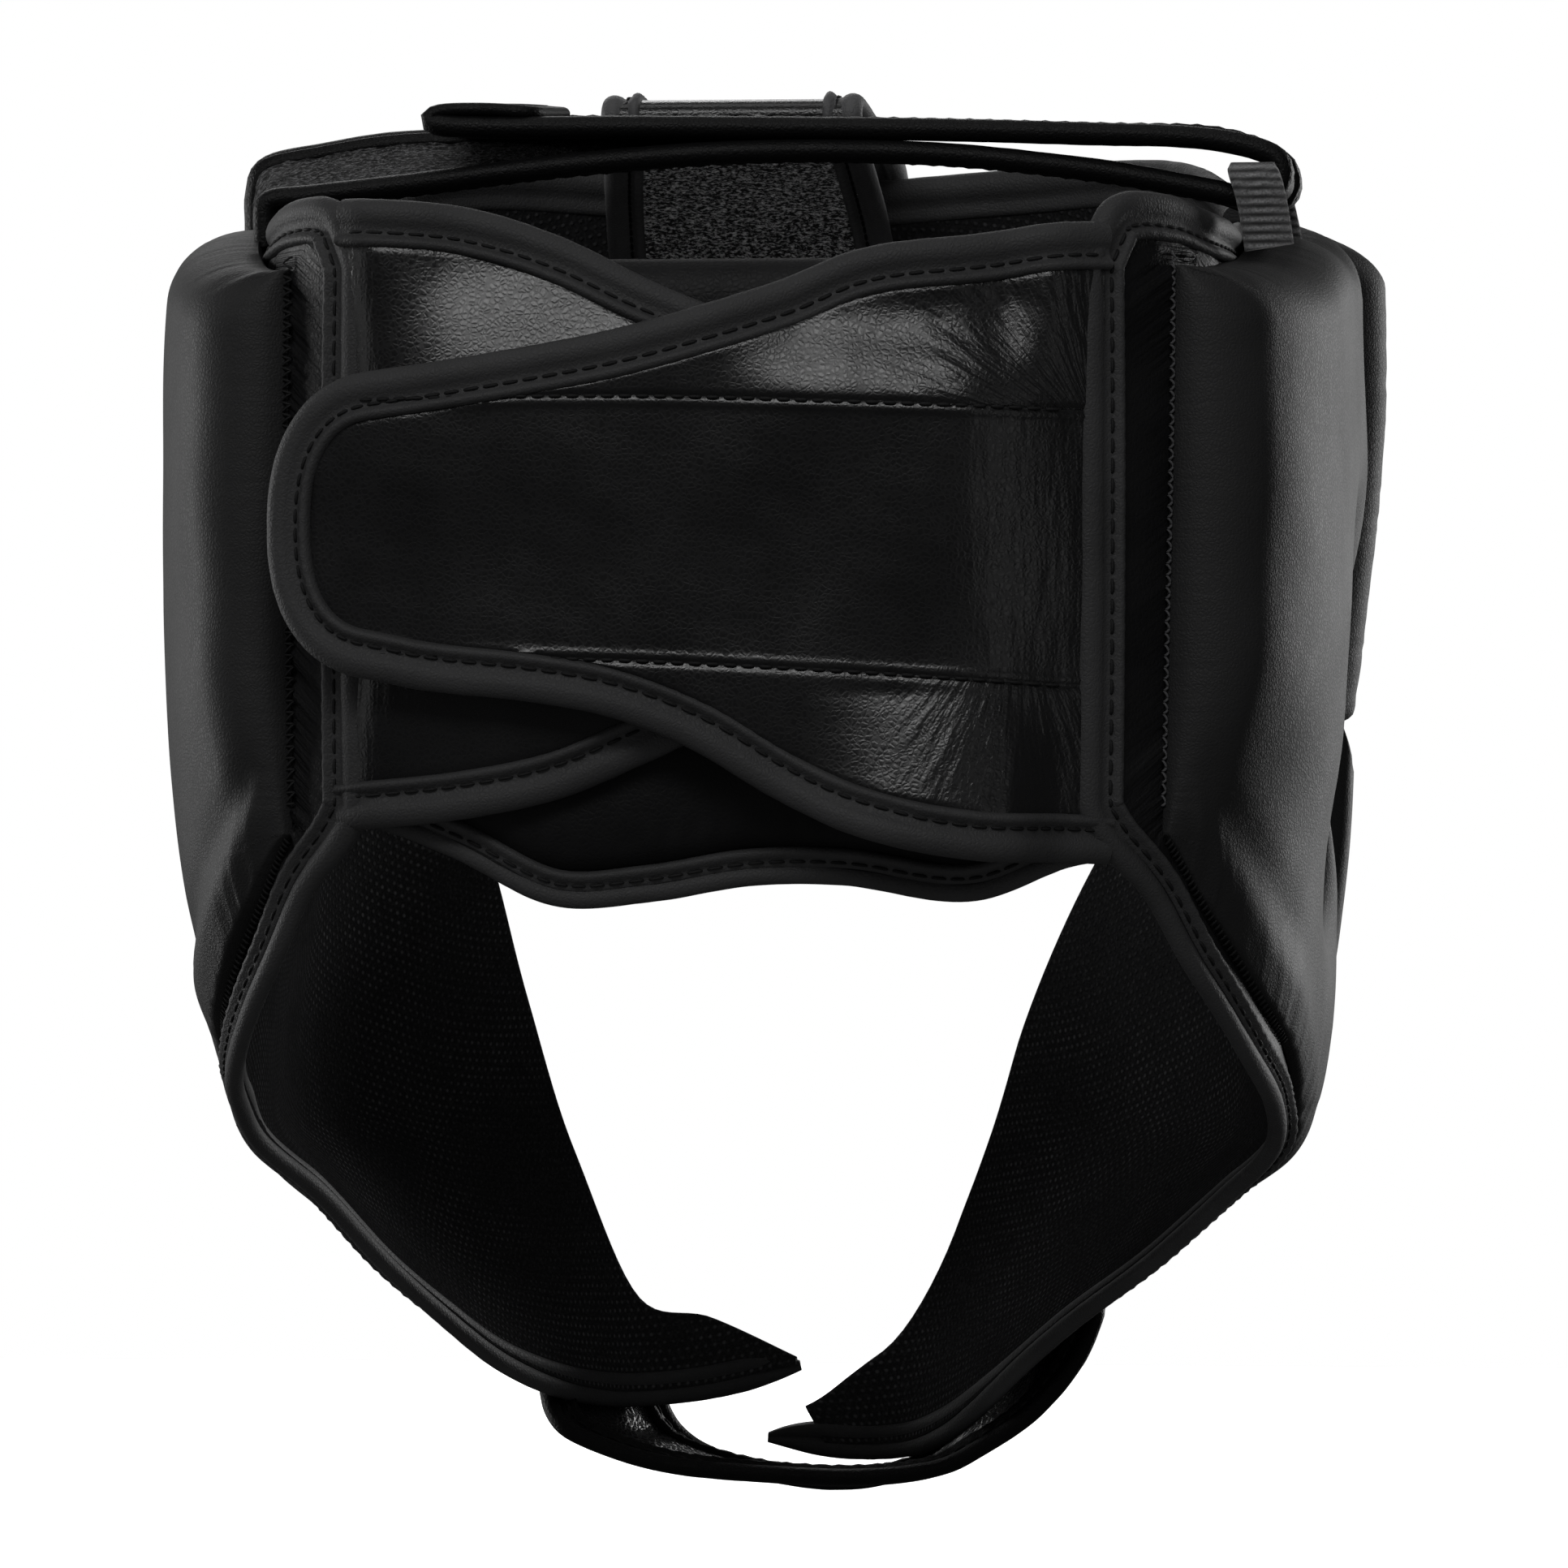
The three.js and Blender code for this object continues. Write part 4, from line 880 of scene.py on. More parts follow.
# Brow panel, pad and binding
# The brow panel is lined leather from temple to temple. A thick foam block under smooth leather is sewn on
# outside it, and the panel's top edge is bound like the side panels.
BROW_HALF_TURN = 64.0
BROW_PAD_END = 0.955
BROW_PAD_RUN = 96.0
BROW_PAD_MARGINS = (0.8, 8.0)
BROW_SEAM_RUN = 110.0
BROW = (  # share of the half turn, low height, top height, foam
    (0, 22, 111.6, 20), (0.3, 20.5, 114, 20), (0.52, 14.5, 115, 20.5), (0.65, 9.3, 113.8, 22),
    (0.85, 9.3, 108, 26), (1, 9.3, 103, 27))

fuzzy_lining = mesh_lining_finish(
    "fuzzy_lining", LINING_PITCH, (0.008, 0.008, 0.0083), (0.042, 0.042, 0.0432))


def brow_place(turn, across, out, low_margin, top_margin):
    low, top, _ = smooth_rows(BROW, np.abs(turn))
    z = blend(low + low_margin, top - top_margin, across)
    half_turn = BROW_HALF_TURN + 5 * (z - 9) / 82
    return outside_form(180 - turn * half_turn, z, out)


turn, across = np.meshgrid(np.linspace(-1.05, 1.05, 130), np.linspace(0, 1, 36), indexing="ij")
brow_outer = brow_place(turn, across, PANEL_THICKNESS - TUCK, 0.0, ROLL_RADIUS)
brow_inner = brow_place(turn, across, 0.3 + 0.2 * unevenness(brow_outer, 22, 41), 0.0, ROLL_RADIUS)
brow_panel = add_sheet("brow_panel", brow_outer, brow_inner, [panel_leather, fuzzy_lining])
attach(brow_panel, "root")
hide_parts("forehead_base")

turn, across = np.meshgrid(BROW_PAD_END * (2 * edge_lines(164, 0.6) - 1), edge_lines(76, 0.6), indexing="ij")
low, top, foam = smooth_rows(BROW, np.abs(turn))
brow_height = top - low - 10.5
low_run = across * brow_height
top_run = (1 - across) * brow_height
end_run = (BROW_PAD_END - np.abs(turn)) * BROW_PAD_RUN
slopes = quarter_round(low_run / blend(9, 4, ease(np.abs(turn), 0.6, 0.85))) * quarter_round(top_run / 11)
ends = quarter_round((BROW_PAD_END - np.abs(turn)) / 0.1) * blend(0.82, 1.0, np.clip(low_run / 55, 0, 1))
brow_seat = brow_place(turn, across, PAD_SEAT, *BROW_PAD_MARGINS)
out = PAD_SEAT + PAD_EDGE + (foam - PAD_EDGE + 0.8) * slopes * ends
fade = np.minimum(1.0, np.minimum(np.minimum(low_run, top_run), end_run) / 0.8)
pulls = 0.4 * np.exp(-low_run / 4.5) * pleats(turn * BROW_SEAM_RUN, 5.0, 7.0)
pulls += 0.4 * np.exp(-top_run / 4.5) * pleats(turn * BROW_SEAM_RUN, 4.7, 8.0)
pulls += 0.45 * np.exp(-end_run / 5.0) * pleats(brow_seat[..., 2], 4.9, 9.0)
out += pulls * fade + 0.35 * slopes * ends * unevenness(brow_seat, 38, 51)
brow_face = brow_place(turn, across, out, *BROW_PAD_MARGINS)
brow_pad = add_sheet("brow_pad", brow_face, brow_seat, [pad_leather], 60.0)
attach(brow_pad, "root")
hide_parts("forehead_pad")

turns = np.linspace(-0.985, 0.985, 240)
brow_top = brow_place(turns, 1.0, PANEL_THICKNESS / 2, 0.0, ROLL_RADIUS)
brow_facing = unit(brow_place(turns, 1.0, 6.0, 0.0, ROLL_RADIUS) - brow_top)
bound_edge("brow_roll", brow_top, brow_facing, -1, ROLL_RADIUS, PANEL_THICKNESS / 2, ["forehead_binding"])

# Nape panel and binding
# A thinly padded leather panel behind the head, under the closing straps, lined with mesh.
# Its two ends are sewn in inside the flanges, and its low edge is narrowly bound and stitched.
NAPE = (  # across, inner face, outer face, top height, low height
    (-62, 83.6, 86.4, 87, -13), (-58, 85, 88.4, 87, -13.6), (-42, 86, 91, 87, -19.4),
    (-20, 87, 93.8, 87, -16.8), (-5, 87.2, 94.4, 87, -16.9), (12, 87, 94.2, 87, -19.6),
    (28, 86.6, 93, 87, -20.3), (44, 86, 90.8, 87, -12.6), (58, 85, 88.4, 87, -7.4), (62, 83.6, 86.4, 87, -7))
NAPE_ROLL = 1.6
NAPE_EDGE = 2.6

x, across = np.meshgrid(np.linspace(-61.6, 61.6, 120), edge_lines(84, 0.5), indexing="ij")
inner_y, outer_y, top, low = smooth_rows(NAPE, x)
z = blend(low + NAPE_ROLL, top, across)
low_run = across * (top - low)
top_run = (1 - across) * (top - low)
puff = quarter_round((low_run - 4.6) / 12) * quarter_round(top_run / 9)
flat_place = np.stack([x, 0 * x, z], -1)
seam = np.exp(-((low_run - 5.5) / 0.9) ** 2)
bulge = 0.35 * np.exp(-((low_run - 8.5) / 2.2) ** 2) * pleats(x, 5.5, 11.0)
bulge += 0.22 * unevenness(flat_place, 19, 61)
nape_outer = np.stack([x, blend(inner_y + NAPE_EDGE, outer_y, puff) - 0.6 * seam + bulge, z], -1)
nape_inner = np.stack([x, inner_y + 0 * z, z], -1)
nape = add_sheet("nape_panel", nape_outer, nape_inner, [panel_leather, fuzzy_lining])
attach(nape, "root")
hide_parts("nape_pad")

x = np.linspace(-61.4, 61.4, 200)
inner_y, _, _, low = smooth_rows(NAPE, x)
nape_edge = np.stack([x, inner_y + 1.7, low + NAPE_ROLL], -1)
rearward = np.broadcast_to([0.0, 1.0, 0.0], nape_edge.shape)
bound_edge("nape_roll", nape_edge, rearward, -1, NAPE_ROLL, 1.2, ["nape_binding"], soften=3.0)

# Closing straps behind
# Two shaped straps of grained leather with bound edges: the wing from the left flange lies under, and the
# rear strap from the right flange lies over it, with a rounded free end and two stitched seams along it.
STRAP_ROLL = 2.5
STRAP_THICKNESS = 2.6
STRAP_HEM_COVER = (4.6, 5.8)
REAR_STRAP = (  # across, rearward, top height, low height
    (-63.6, 87.4, 92.8, -13.4), (-57.5, 91.6, 92.6, -13), (-43, 99.2, 90.5, -12.5), (-24, 102.6, 88, -8.5),
    (-11, 103.6, 82.7, -2.5), (2, 103.8, 78.4, 5.3), (16, 103.6, 74.7, 10.8), (30, 102.9, 72.1, 13.4),
    (48, 101, 69.3, 15.4), (58, 99.4, 68, 17.4), (75, 95.4, 65, 20))
REAR_WING = (  # across, rearward, top height, low height
    (63, 88.2, 97.4, -7.9), (57.4, 92, 97.1, -7.4), (42, 96.2, 95.6, -5.8), (26, 97.4, 90.4, -2.4),
    (13.5, 97.8, 84.2, 2.8), (1.4, 97.8, 79, 8.2), (-12, 97.3, 74, 12), (-26, 96.3, 71, 15),
    (-43, 93.6, 68, 18))
REAR_STRAP_END = (58, 75)
REAR_WING_END = (-26, -43)
REAR_SEAMS = (  # across, height of the upper seam, height of the lower seam
    (-57.6, 61.5, 16.1), (-23.1, 62.6, 18.4), (10.3, 63.6, 20.1), (42.7, 63.6, 21.1), (60, 63.3, 21.6))
END_ROUND = 2.4
UPPER_FAN = (-63.0, 56.0)
LOWER_FAN = (-50.0, 32.0)
FAN_REACH = 26.0
SEAM_PITCH = 2.9
SEAM_STITCH = 2.2

strap_leather = leather_finish(
    "strap_leather", (0.004, 0.004, 0.0043), (0.007, 0.007, 0.0074), roughness=0.28, grain_size=0.0009,
    grain_depth=0.022, wrinkle_depth=0.05, gather_depth=0.7)


def closure_edges(rows, end, x, margin):
    """How far rearward a closing strap lies, and its top and low edge less a margin, at places across."""
    y, top, low = smooth_rows(rows, x)
    outward = math.copysign(1.0, end[1] - end[0])
    past = np.clip((x - end[0]) / (end[1] - end[0] - outward * margin), 0.0, 1.0)
    rounded = np.maximum(0.0, 1 - past ** END_ROUND) ** (1 / END_ROUND)
    middle = (top + low) / 2
    half = ((top - low) / 2 - margin) * rounded
    return y, middle + half, middle - half


def closure_outline(rows, end, margin):
    """The bound outline from the sewn end along the top, round the free end and back along the bottom."""
    outward = math.copysign(1.0, end[1] - end[0])
    tip = end[1] - outward * margin
    share = np.sin(np.linspace(0, math.pi / 2, 60))
    lines = np.concatenate([np.linspace(rows[0][0], end[0], 200)[:-1], end[0] + (tip - end[0]) * share])
    y, top, low = closure_edges(rows, end, lines, margin)
    upper = np.stack([lines, y, top], -1)
    lower = np.stack([lines, y, low], -1)
    return np.concatenate([upper, lower[-2::-1]])


def closure_normals(rows, lean, x, z):
    """Which way the outside of a closing strap faces at places along it."""
    ahead, behind = x + 0.5, x - 0.5
    around = smooth_rows(rows, ahead)[0] + lean(ahead, z) - smooth_rows(rows, behind)[0] - lean(behind, z)
    upward = lean(x, z + 0.5) - lean(x, z - 0.5)
    return unit(np.stack([-around, 1 + 0 * x, -upward], -1))


def closure_strap(name, rows, end, node, lean, creases, seams=None):
    """One closing strap: lean moves it in or out with height, creases gives its relief and gathers."""
    outward = math.copysign(1.0, end[1] - end[0])
    tip = end[1] - outward * (STRAP_ROLL + 0.1)
    share = np.sin(np.linspace(0, math.pi / 2, 32))
    lines = np.concatenate([np.linspace(rows[0][0], end[0], 130)[:-1], end[0] + (tip - end[0]) * share])
    bands = np.concatenate([edge_lines(30, 0.6), 1 + edge_lines(44, 0.6)[1:], 2 + edge_lines(36, 0.6)[1:]])
    x, band = np.meshgrid(lines, bands, indexing="ij")
    y, top, low = closure_edges(rows, end, x, STRAP_ROLL)
    marks = [low, blend(low, top, 0.3), blend(low, top, 0.7), top]
    if seams:
        upper, lower = smooth_rows(seams, x)
        marks[1] = np.clip(lower, low + 0.03 * (top - low), blend(low, top, 0.45))
        marks[2] = np.clip(upper, blend(low, top, 0.55), top - 0.03 * (top - low))
    z = sum(blend(marks[k], marks[k + 1], np.clip(band - k, 0, 1)) - (marks[k] if k else 0) for k in range(3))
    y = y + lean(x, z)
    margin = np.minimum(np.minimum(z - low, top - z), np.abs(tip - x))
    relief, seam = creases(x, z, margin)
    clear = ease(margin, *STRAP_HEM_COVER)
    relief = relief * clear - TUCK * (1 - clear)
    outer = np.stack([x, y + STRAP_THICKNESS / 2 + relief, z], -1)
    inner = np.stack([x, y - STRAP_THICKNESS / 2, z], -1)
    strap = add_sheet(name, outer, inner, [strap_leather], seam=seam)
    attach(strap, "root")
    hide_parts(node)
    outline = closure_outline(rows, end, STRAP_ROLL)
    outline[:, 1] += lean(outline[:, 0], outline[:, 2])
    facing = closure_normals(rows, lean, outline[:, 0], outline[:, 2])
    bound_edge(f"{name}_roll", outline, facing, outward, STRAP_ROLL, STRAP_THICKNESS / 2, [f"{node}_binding"],
               soften=3.0)


def wing_lean(x, z):
    """The wing gives way inwards at the top, and a little at the bottom, away from its sewn end."""
    return -7.0 * ease(z, 60, 94) * ease(x, 62, 40) - 2.4 * ease(z, 24, -4) * ease(x, 62, 50)


def wing_creases(x, z, margin):
    place = np.stack([x, 0 * x, z], -1)
    gather = 0.35 * np.exp(-np.maximum(margin - 3.5, 0) / 4.0) + 0.3 * ease(x, 46, 56)
    return 0.3 * unevenness(place, 24, 71), (x, margin, gather)


def closing_lean(x, z):
    """The strap gives way inwards at the top and outwards at the bottom near its sewn end."""
    high = -4.6 * ease(z, 61, 80) * ease(x, 4, -18) * ease(x, -57, -46)
    low = 5.2 * np.clip((15 - z) / 23, 0, 1) * ease(x, -8, -30) * ease(x, -57, -48)
    return high + low


def closing_slack(x, z):
    return 0.28 * unevenness(np.stack([x, 0 * x, z], -1), 26, 81)


def closing_creases(x, z, margin):
    """Slack, the two lapped seams, and creases that fan out from the sewn end."""
    relief = closing_slack(x, z) + 0.05 * unevenness(np.stack([x, 0 * x, z], -1), 7, 82)
    upper, lower = smooth_rows(REAR_SEAMS, x)
    relief += 0.35 * (ease(z, upper - 1.7, upper - 1.2) + ease(z, lower + 1.7, lower + 1.2))
    relief -= 0.35 * (np.exp(-((z - upper) / 0.7) ** 2) + np.exp(-((z - lower) / 0.7) ** 2))
    along = x
    off = z
    fan = 0.25 * ease(x, -36, -46)
    for outside, middle, depth in ((z > upper, UPPER_FAN, 0.6 * ease(x, -24, -44)),
                                   (z < lower, LOWER_FAN, 0.5 * ease(x, -22, -40))):
        away = x - middle[0]
        raised = z - middle[1]
        along = np.where(outside, FAN_REACH * np.arctan2(raised, away), along)
        off = np.where(outside, np.hypot(raised, away), off)
        fan = np.where(outside, depth, fan)
    gather = fan + 0.25 * np.exp(-np.maximum(margin - 3.5, 0) / 3.0)
    return relief, (along, off, gather)


closure_strap("wing_strap", REAR_WING, REAR_WING_END, "rear_wing", wing_lean, wing_creases)
closure_strap(
    "closing_strap", REAR_STRAP, REAR_STRAP_END, "rear_strap", closing_lean, closing_creases, REAR_SEAMS)

for index, label in ((0, "upper"), (1, "lower")):
    starts = np.arange(-56.5, 58.0, SEAM_PITCH)
    lines = []  # where each stitch starts, then where it ends
    for x in (starts, starts + SEAM_STITCH):
        y, _, _ = smooth_rows(REAR_STRAP, x)
        z = smooth_rows(REAR_SEAMS, x)[index]
        y = y + closing_lean(x, z) + closing_slack(x, z)
        lines.append(np.stack([x, y + STRAP_THICKNESS / 2 + 0.2, z], -1))
    rearward = np.broadcast_to([0.0, 1.0, 0.0], lines[0].shape)
    lay_stitches(f"closing_strap_{label}_seam", lines[0], lines[1], rearward, THREAD_RADIUS, thread)

# Crown strap and its binding
# A long strap sewn at the left pad's top, over the crown, round the elastic loop at the right and back.
# On its first run the upper face is loop nap and the under face leather. Its edges and free end are bound.
CROWN_Y = (50.0, 4.0)
CROWN_STRAP = (  # rear edge across and height, front edge across and height
    (82.2, 92, 91.3, 92), (82.6, 97, 91.5, 99), (82.2, 99.2, 91.4, 104.5), (80.2, 99.8, 89.4, 109.2),
    (76, 100, 80, 111.4), (60, 101.7, 62, 113.8), (30, 105.4, 30, 113), (0, 107.6, 0, 111.4),
    (-30, 107.2, -30, 110.2), (-58, 104.3, -58, 107.4), (-78, 100.8, -78, 103.4), (-85, 99.4, -85, 101),
    (-89.8, 100.6, -89.8, 101.6), (-91.4, 103.6, -91.4, 104.6), (-89, 106.8, -89, 109),
    (-78, 109.3, -78, 112.8), (-58, 110.3, -58, 113.6), (-20, 111.4, -20, 114.8), (20, 111.9, 20, 115.4),
    (42, 112, 42, 115.6), (52.5, 112.5, 52.5, 116), (54.8, 113.8, 54.8, 117.2), (52.5, 115, 52.5, 118.3),
    (44, 115.1, 44, 118.5), (34, 114.3, 34, 117.8))
CROWN_NAP_ROWS = 11
CROWN_TRIM = 0.36
CROWN_END_TRIM = 0.21
CROWN_ROLL = 2.2
CROWN_THICKNESS = 1.0


def crown_slim(points):
    """The turned-back end of the crown strap is pressed thin."""
    level = points[:, 2] - 3.4 * (CROWN_Y[0] - points[:, 1]) / (CROWN_Y[0] - CROWN_Y[1])
    return 1 - 0.4 * ease(level, 112.6, 114.6) * ease(points[:, 0], 28, 33)


def nap_finish(name, dark, light):
    """Brushed loop pile in clumps, with the glints of its curled fibres painted into its colour as pale
    specks.
    """
    finish, nodes, links, shader = new_finish(name)
    place = nodes.new("ShaderNodeTexCoord").outputs["Object"]
    fibres = noise(nodes, links, place, 1150.0, 3.0, 0.7)
    clumps = noise(nodes, links, place, 520.0, 3.0, 0.6)
    # Painted highlights: the pale specks stand for the glints of curled fibres.
    lit = spread(nodes, links, fibres, 0.0, 1.0, 0.47, 0.67)
    links.new(tinted(nodes, links, lit, dark, light), shader.inputs["Base Color"])
    shader.inputs["Roughness"].default_value = 0.95
    shader.inputs["Specular IOR Level"].default_value = 0.2
    connect_bump(nodes, links, shader, ((fibres, 0.5), (clumps, 0.5)))
    return finish


loop_nap = nap_finish("loop_nap", (0.0012, 0.0012, 0.0013), (0.105, 0.105, 0.108))
# Painted shade: the bound edges of the crown and chin straps are the same leather as the other bindings,
# given a far darker colour to paint in the shade they lie in.
painted_shade_leather = leather_finish(
    "painted_shade_leather", (0.002, 0.002, 0.0022), (0.0036, 0.0036, 0.0038), roughness=0.5, grain_size=0.0008,
    grain_depth=0.05, wrinkle_depth=0.1, shine=0.15)


def strap_rows(rows, row):
    """The columns of a strap's table at places counted along its rows, and how they change there."""
    table = [(index, *values) for index, values in enumerate(rows)]
    return smooth_rows(table, row), smooth_rows(table, row + 0.05) - smooth_rows(table, row - 0.05)


def crown_place(row, share, out):
    (rear_x, rear_z, front_x, front_z), change = strap_rows(CROWN_STRAP, row)
    running = blend(change[0], change[2], share)
    rising = blend(change[1], change[3], share)
    length = np.hypot(running, rising)
    x = blend(rear_x, front_x, share) - out * rising / length
    z = blend(rear_z, front_z, share) + out * running / length
    return np.stack([x, blend(CROWN_Y[0], CROWN_Y[1], share) + 0 * x, z], -1)


crown_last = len(CROWN_STRAP) - 1
crown_edge = CROWN_ROLL / (CROWN_Y[0] - CROWN_Y[1])
crown_lines = np.linspace(0, crown_last - CROWN_TRIM, 300)
row, share = np.meshgrid(crown_lines, np.linspace(crown_edge, 1 - crown_edge, 36), indexing="ij")
flat_place = crown_place(row, share, 0 * row)
crease = 0.16 * unevenness(flat_place, 15, 91) + 0.1 * unevenness(flat_place, 5, 92)
pile = 0.25 * unevenness(flat_place, 2.6, 93) * (row < CROWN_NAP_ROWS)
crown_leather_face = crown_place(row, share, CROWN_THICKNESS / 2 + crease)
crown_nap_face = crown_place(row, share, -CROWN_THICKNESS / 2 - pile)
crown = add_sheet("crown_band", crown_leather_face, crown_nap_face, [strap_leather, loop_nap],
                  lined_rows=int(np.searchsorted(crown_lines, CROWN_NAP_ROWS)))
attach(crown, "root")
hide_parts("cross_strap")

rows = np.linspace(0, crown_last - CROWN_TRIM, 420)
ends = np.linspace(0.1, 0.9, 30)
edge_rows = np.concatenate([rows, crown_last - CROWN_END_TRIM + 0 * ends, rows[::-1]])
edge_shares = np.concatenate([crown_edge + 0 * rows, ends, 1 - crown_edge + 0 * rows])
crown_outline = crown_place(edge_rows, edge_shares, 0 * edge_rows)
crown_facing = unit(crown_place(edge_rows, edge_shares, 0 * edge_rows + 3.0) - crown_outline)
bound_edge("crown_band_roll", crown_outline, crown_facing, -1, CROWN_ROLL, 0.7, ["cross_strap_binding"],
           soften=2.0, finish=painted_shade_leather, slim=crown_slim)

# Elastic loop
# A short bridge of ribbed woven elastic, sewn by both feet at the right pad's top.
# The crown strap passes through it and turns back on itself there.
ELASTIC_X = -87.2
ELASTIC_HALF = 4.2
ELASTIC_THICKNESS = 1.6
ELASTIC_STEP = 0.25
RIB_PITCH = 1.5
ELASTIC_ROUTE = (  # rearward, height, and which way the outside faces: rearward and upward
    (54.4, 90.5, 1, 0), (54.3, 97, 1, 0), (54.2, 101.5, 1, 0), (53.4, 103.6, 0.7, 0.7), (51.0, 104.2, 0, 1),
    (40, 104.2, 0, 1), (14, 104.2, 0, 1), (3.0, 104.2, 0, 1), (0.6, 103.6, -0.7, 0.7), (-0.2, 101.5, -1, 0),
    (-0.3, 97, -1, 0), (-0.3, 92, -1, 0))


def elastic_finish(name):
    """Woven elastic: dark grey yarn with fine ribs across, whose lit crests and shaded grooves are painted
    into its colour as pale and dark bands.
    """
    finish, nodes, links, shader = new_finish(name)
    place = nodes.new("ShaderNodeTexCoord").outputs["Object"]
    yarn = noise(nodes, links, place, 2400.0, 3.0)
    # Painted light and shade: pale bands at the rib pitch stand for the lit crests of the ribs, dark ones for
    # their shaded grooves; the yarn's uneven tone is its own.
    bands = nodes.new("ShaderNodeTexWave")
    bands.bands_direction = "Z"
    bands.inputs["Scale"].default_value = 2 * math.pi / 20 / (RIB_PITCH * MM)
    bands.inputs["Distortion"].default_value = 0.8
    links.new(place, bands.inputs["Vector"])
    lit = worked_out(nodes, links, "MULTIPLY", spread(nodes, links, yarn, 0.3, 1.0), bands.outputs["Fac"])
    dye = tinted(nodes, links, lit, (0.008, 0.008, 0.0084), (0.17, 0.17, 0.173))
    links.new(dye, shader.inputs["Base Color"])
    shader.inputs["Roughness"].default_value = 0.8
    shader.inputs["Sheen Weight"].default_value = 0.25
    connect_bump(nodes, links, shader, ((yarn, 0.25),))
    return finish


ribbed_elastic = elastic_finish("ribbed_elastic")
route_y, route_z, facing_y, facing_z = np.array(ELASTIC_ROUTE, float).T
elastic_lean = np.interp(np.arange(len(ELASTIC_ROUTE)), (0, 3, 8, 11), (-2.2, 0.8, 0.8, -2.2))
route_points = np.stack([ELASTIC_X + elastic_lean, route_y, route_z], -1)
route_normals = np.stack([0 * facing_y, facing_y, facing_z], -1)
route_points, route_normals = even_path(route_points, route_normals, ELASTIC_STEP, 2.5)
tape = np.linspace(-ELASTIC_HALF, ELASTIC_HALF, 17)
rounded = ELASTIC_THICKNESS / 2 * quarter_round((ELASTIC_HALF - np.abs(tape)) / 0.7)
section = np.concatenate([np.stack([tape, rounded], -1), np.stack([tape[::-1], -rounded], -1)])
section = np.repeat(section[None], len(route_points), axis=0)
ribs = 0.5 + 0.5 * np.cos(2 * math.pi * np.arange(len(route_points)) * ELASTIC_STEP / RIB_PITCH)
section[..., 1] *= 1 + 0.32 * ribs[:, None]
elastic = add_sweep("elastic_bridge", route_points, route_normals, 1, section, [ribbed_elastic])
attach(elastic, "root")
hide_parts("elastic_loop")

# Front strap and its bindings
# A wide strap sewn inside the brow panel, up to the crown, folded over there and laid back on the brow pad.
# Its first run has brushed nap on the under face, and its long edges and free end are bound and stitched.
FRONT_X = (31.6, -15.8)
FRONT_THICKNESS = 1.5
FRONT_FLARE = 7.0
FRONT_NAP_ROWS = 6
FRONT_TRIM = 0.18
FRONT_ROLL = 2.0
FRONT_STRAP = (  # rearward and height
    (-85.7, 82), (-81.5, 93.5), (-64, 102), (-40, 108.5), (-20, 113), (-8, 115.6), (-4.5, 118), (-8, 120.4),
    (-24, 120.2), (-46, 119), (-68, 117.8), (-90, 116.8), (-104.5, 114), (-113.4, 106.5), (-117.2, 95),
    (-117.8, 80))

# Painted light: the front strap's bound edges are the same leather as the other bindings, given a paler
# colour to paint in the light falling on them.
painted_light_binding = leather_finish(
    "painted_light_binding", (0.05, 0.05, 0.0515), (0.075, 0.075, 0.077), roughness=0.6, grain_size=0.0008,
    grain_depth=0.05, wrinkle_depth=0.1, shine=0.3)
# Painted light: the same loop pile as on the crown strap, given a far paler colour to paint in the light on
# the front strap's under face.
nap_with_painted_light = nap_finish("nap_with_painted_light", (0.02, 0.02, 0.0205), (0.85, 0.85, 0.86))


def front_place(row, x, out):
    (y, z), (running, rising) = strap_rows(FRONT_STRAP, row)
    length = np.hypot(running, rising)
    return np.stack([x + 0 * y, y - out * rising / length, z + out * running / length], -1)


def front_across(row, share):
    """Places across the front strap, which is wider at the brow."""
    left = FRONT_X[0] - STRAP_ROLL + FRONT_FLARE * ease(row, 5.0, 1.0)
    return blend(FRONT_X[1] + STRAP_ROLL, left, share)


front_last = len(FRONT_STRAP) - 1
front_lines = np.linspace(0, front_last - FRONT_TRIM, 240)
row, share = np.meshgrid(front_lines, np.linspace(0, 1, 40), indexing="ij")
x = front_across(row, share)
flat_place = front_place(row, x, 0 * row)
front_upper = front_place(row, x, FRONT_THICKNESS / 2 + 0.15 * unevenness(flat_place, 13, 101))
pile = 0.2 * unevenness(flat_place, 2.6, 102) * (row < FRONT_NAP_ROWS)
front_under = front_place(row, x, -FRONT_THICKNESS / 2 - pile)
front = add_sheet("front_band", front_upper, front_under, [strap_leather, nap_with_painted_light],
                  lined_rows=int(np.searchsorted(front_lines, FRONT_NAP_ROWS)) - 1)
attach(front, "root")
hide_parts("front_strap")
rows = np.linspace(0, front_last - FRONT_TRIM, 330)
ends = np.linspace(1, 0, 40)
edge_rows = np.concatenate([rows, rows[-1] + 0 * ends, rows[::-1]])
edge_x = front_across(edge_rows, np.concatenate([1 + 0 * rows, ends, 0 * rows]))
front_outline = front_place(edge_rows, edge_x, 0 * edge_x)
front_facing = unit(front_place(edge_rows, edge_x, 0 * edge_x - 3.0) - front_outline)
bound_edge("front_band_roll", front_outline, front_facing, -1, FRONT_ROLL, 1.0,
           ["front_strap_binding_left", "front_strap_binding_right"], soften=2.5, finish=painted_light_binding)

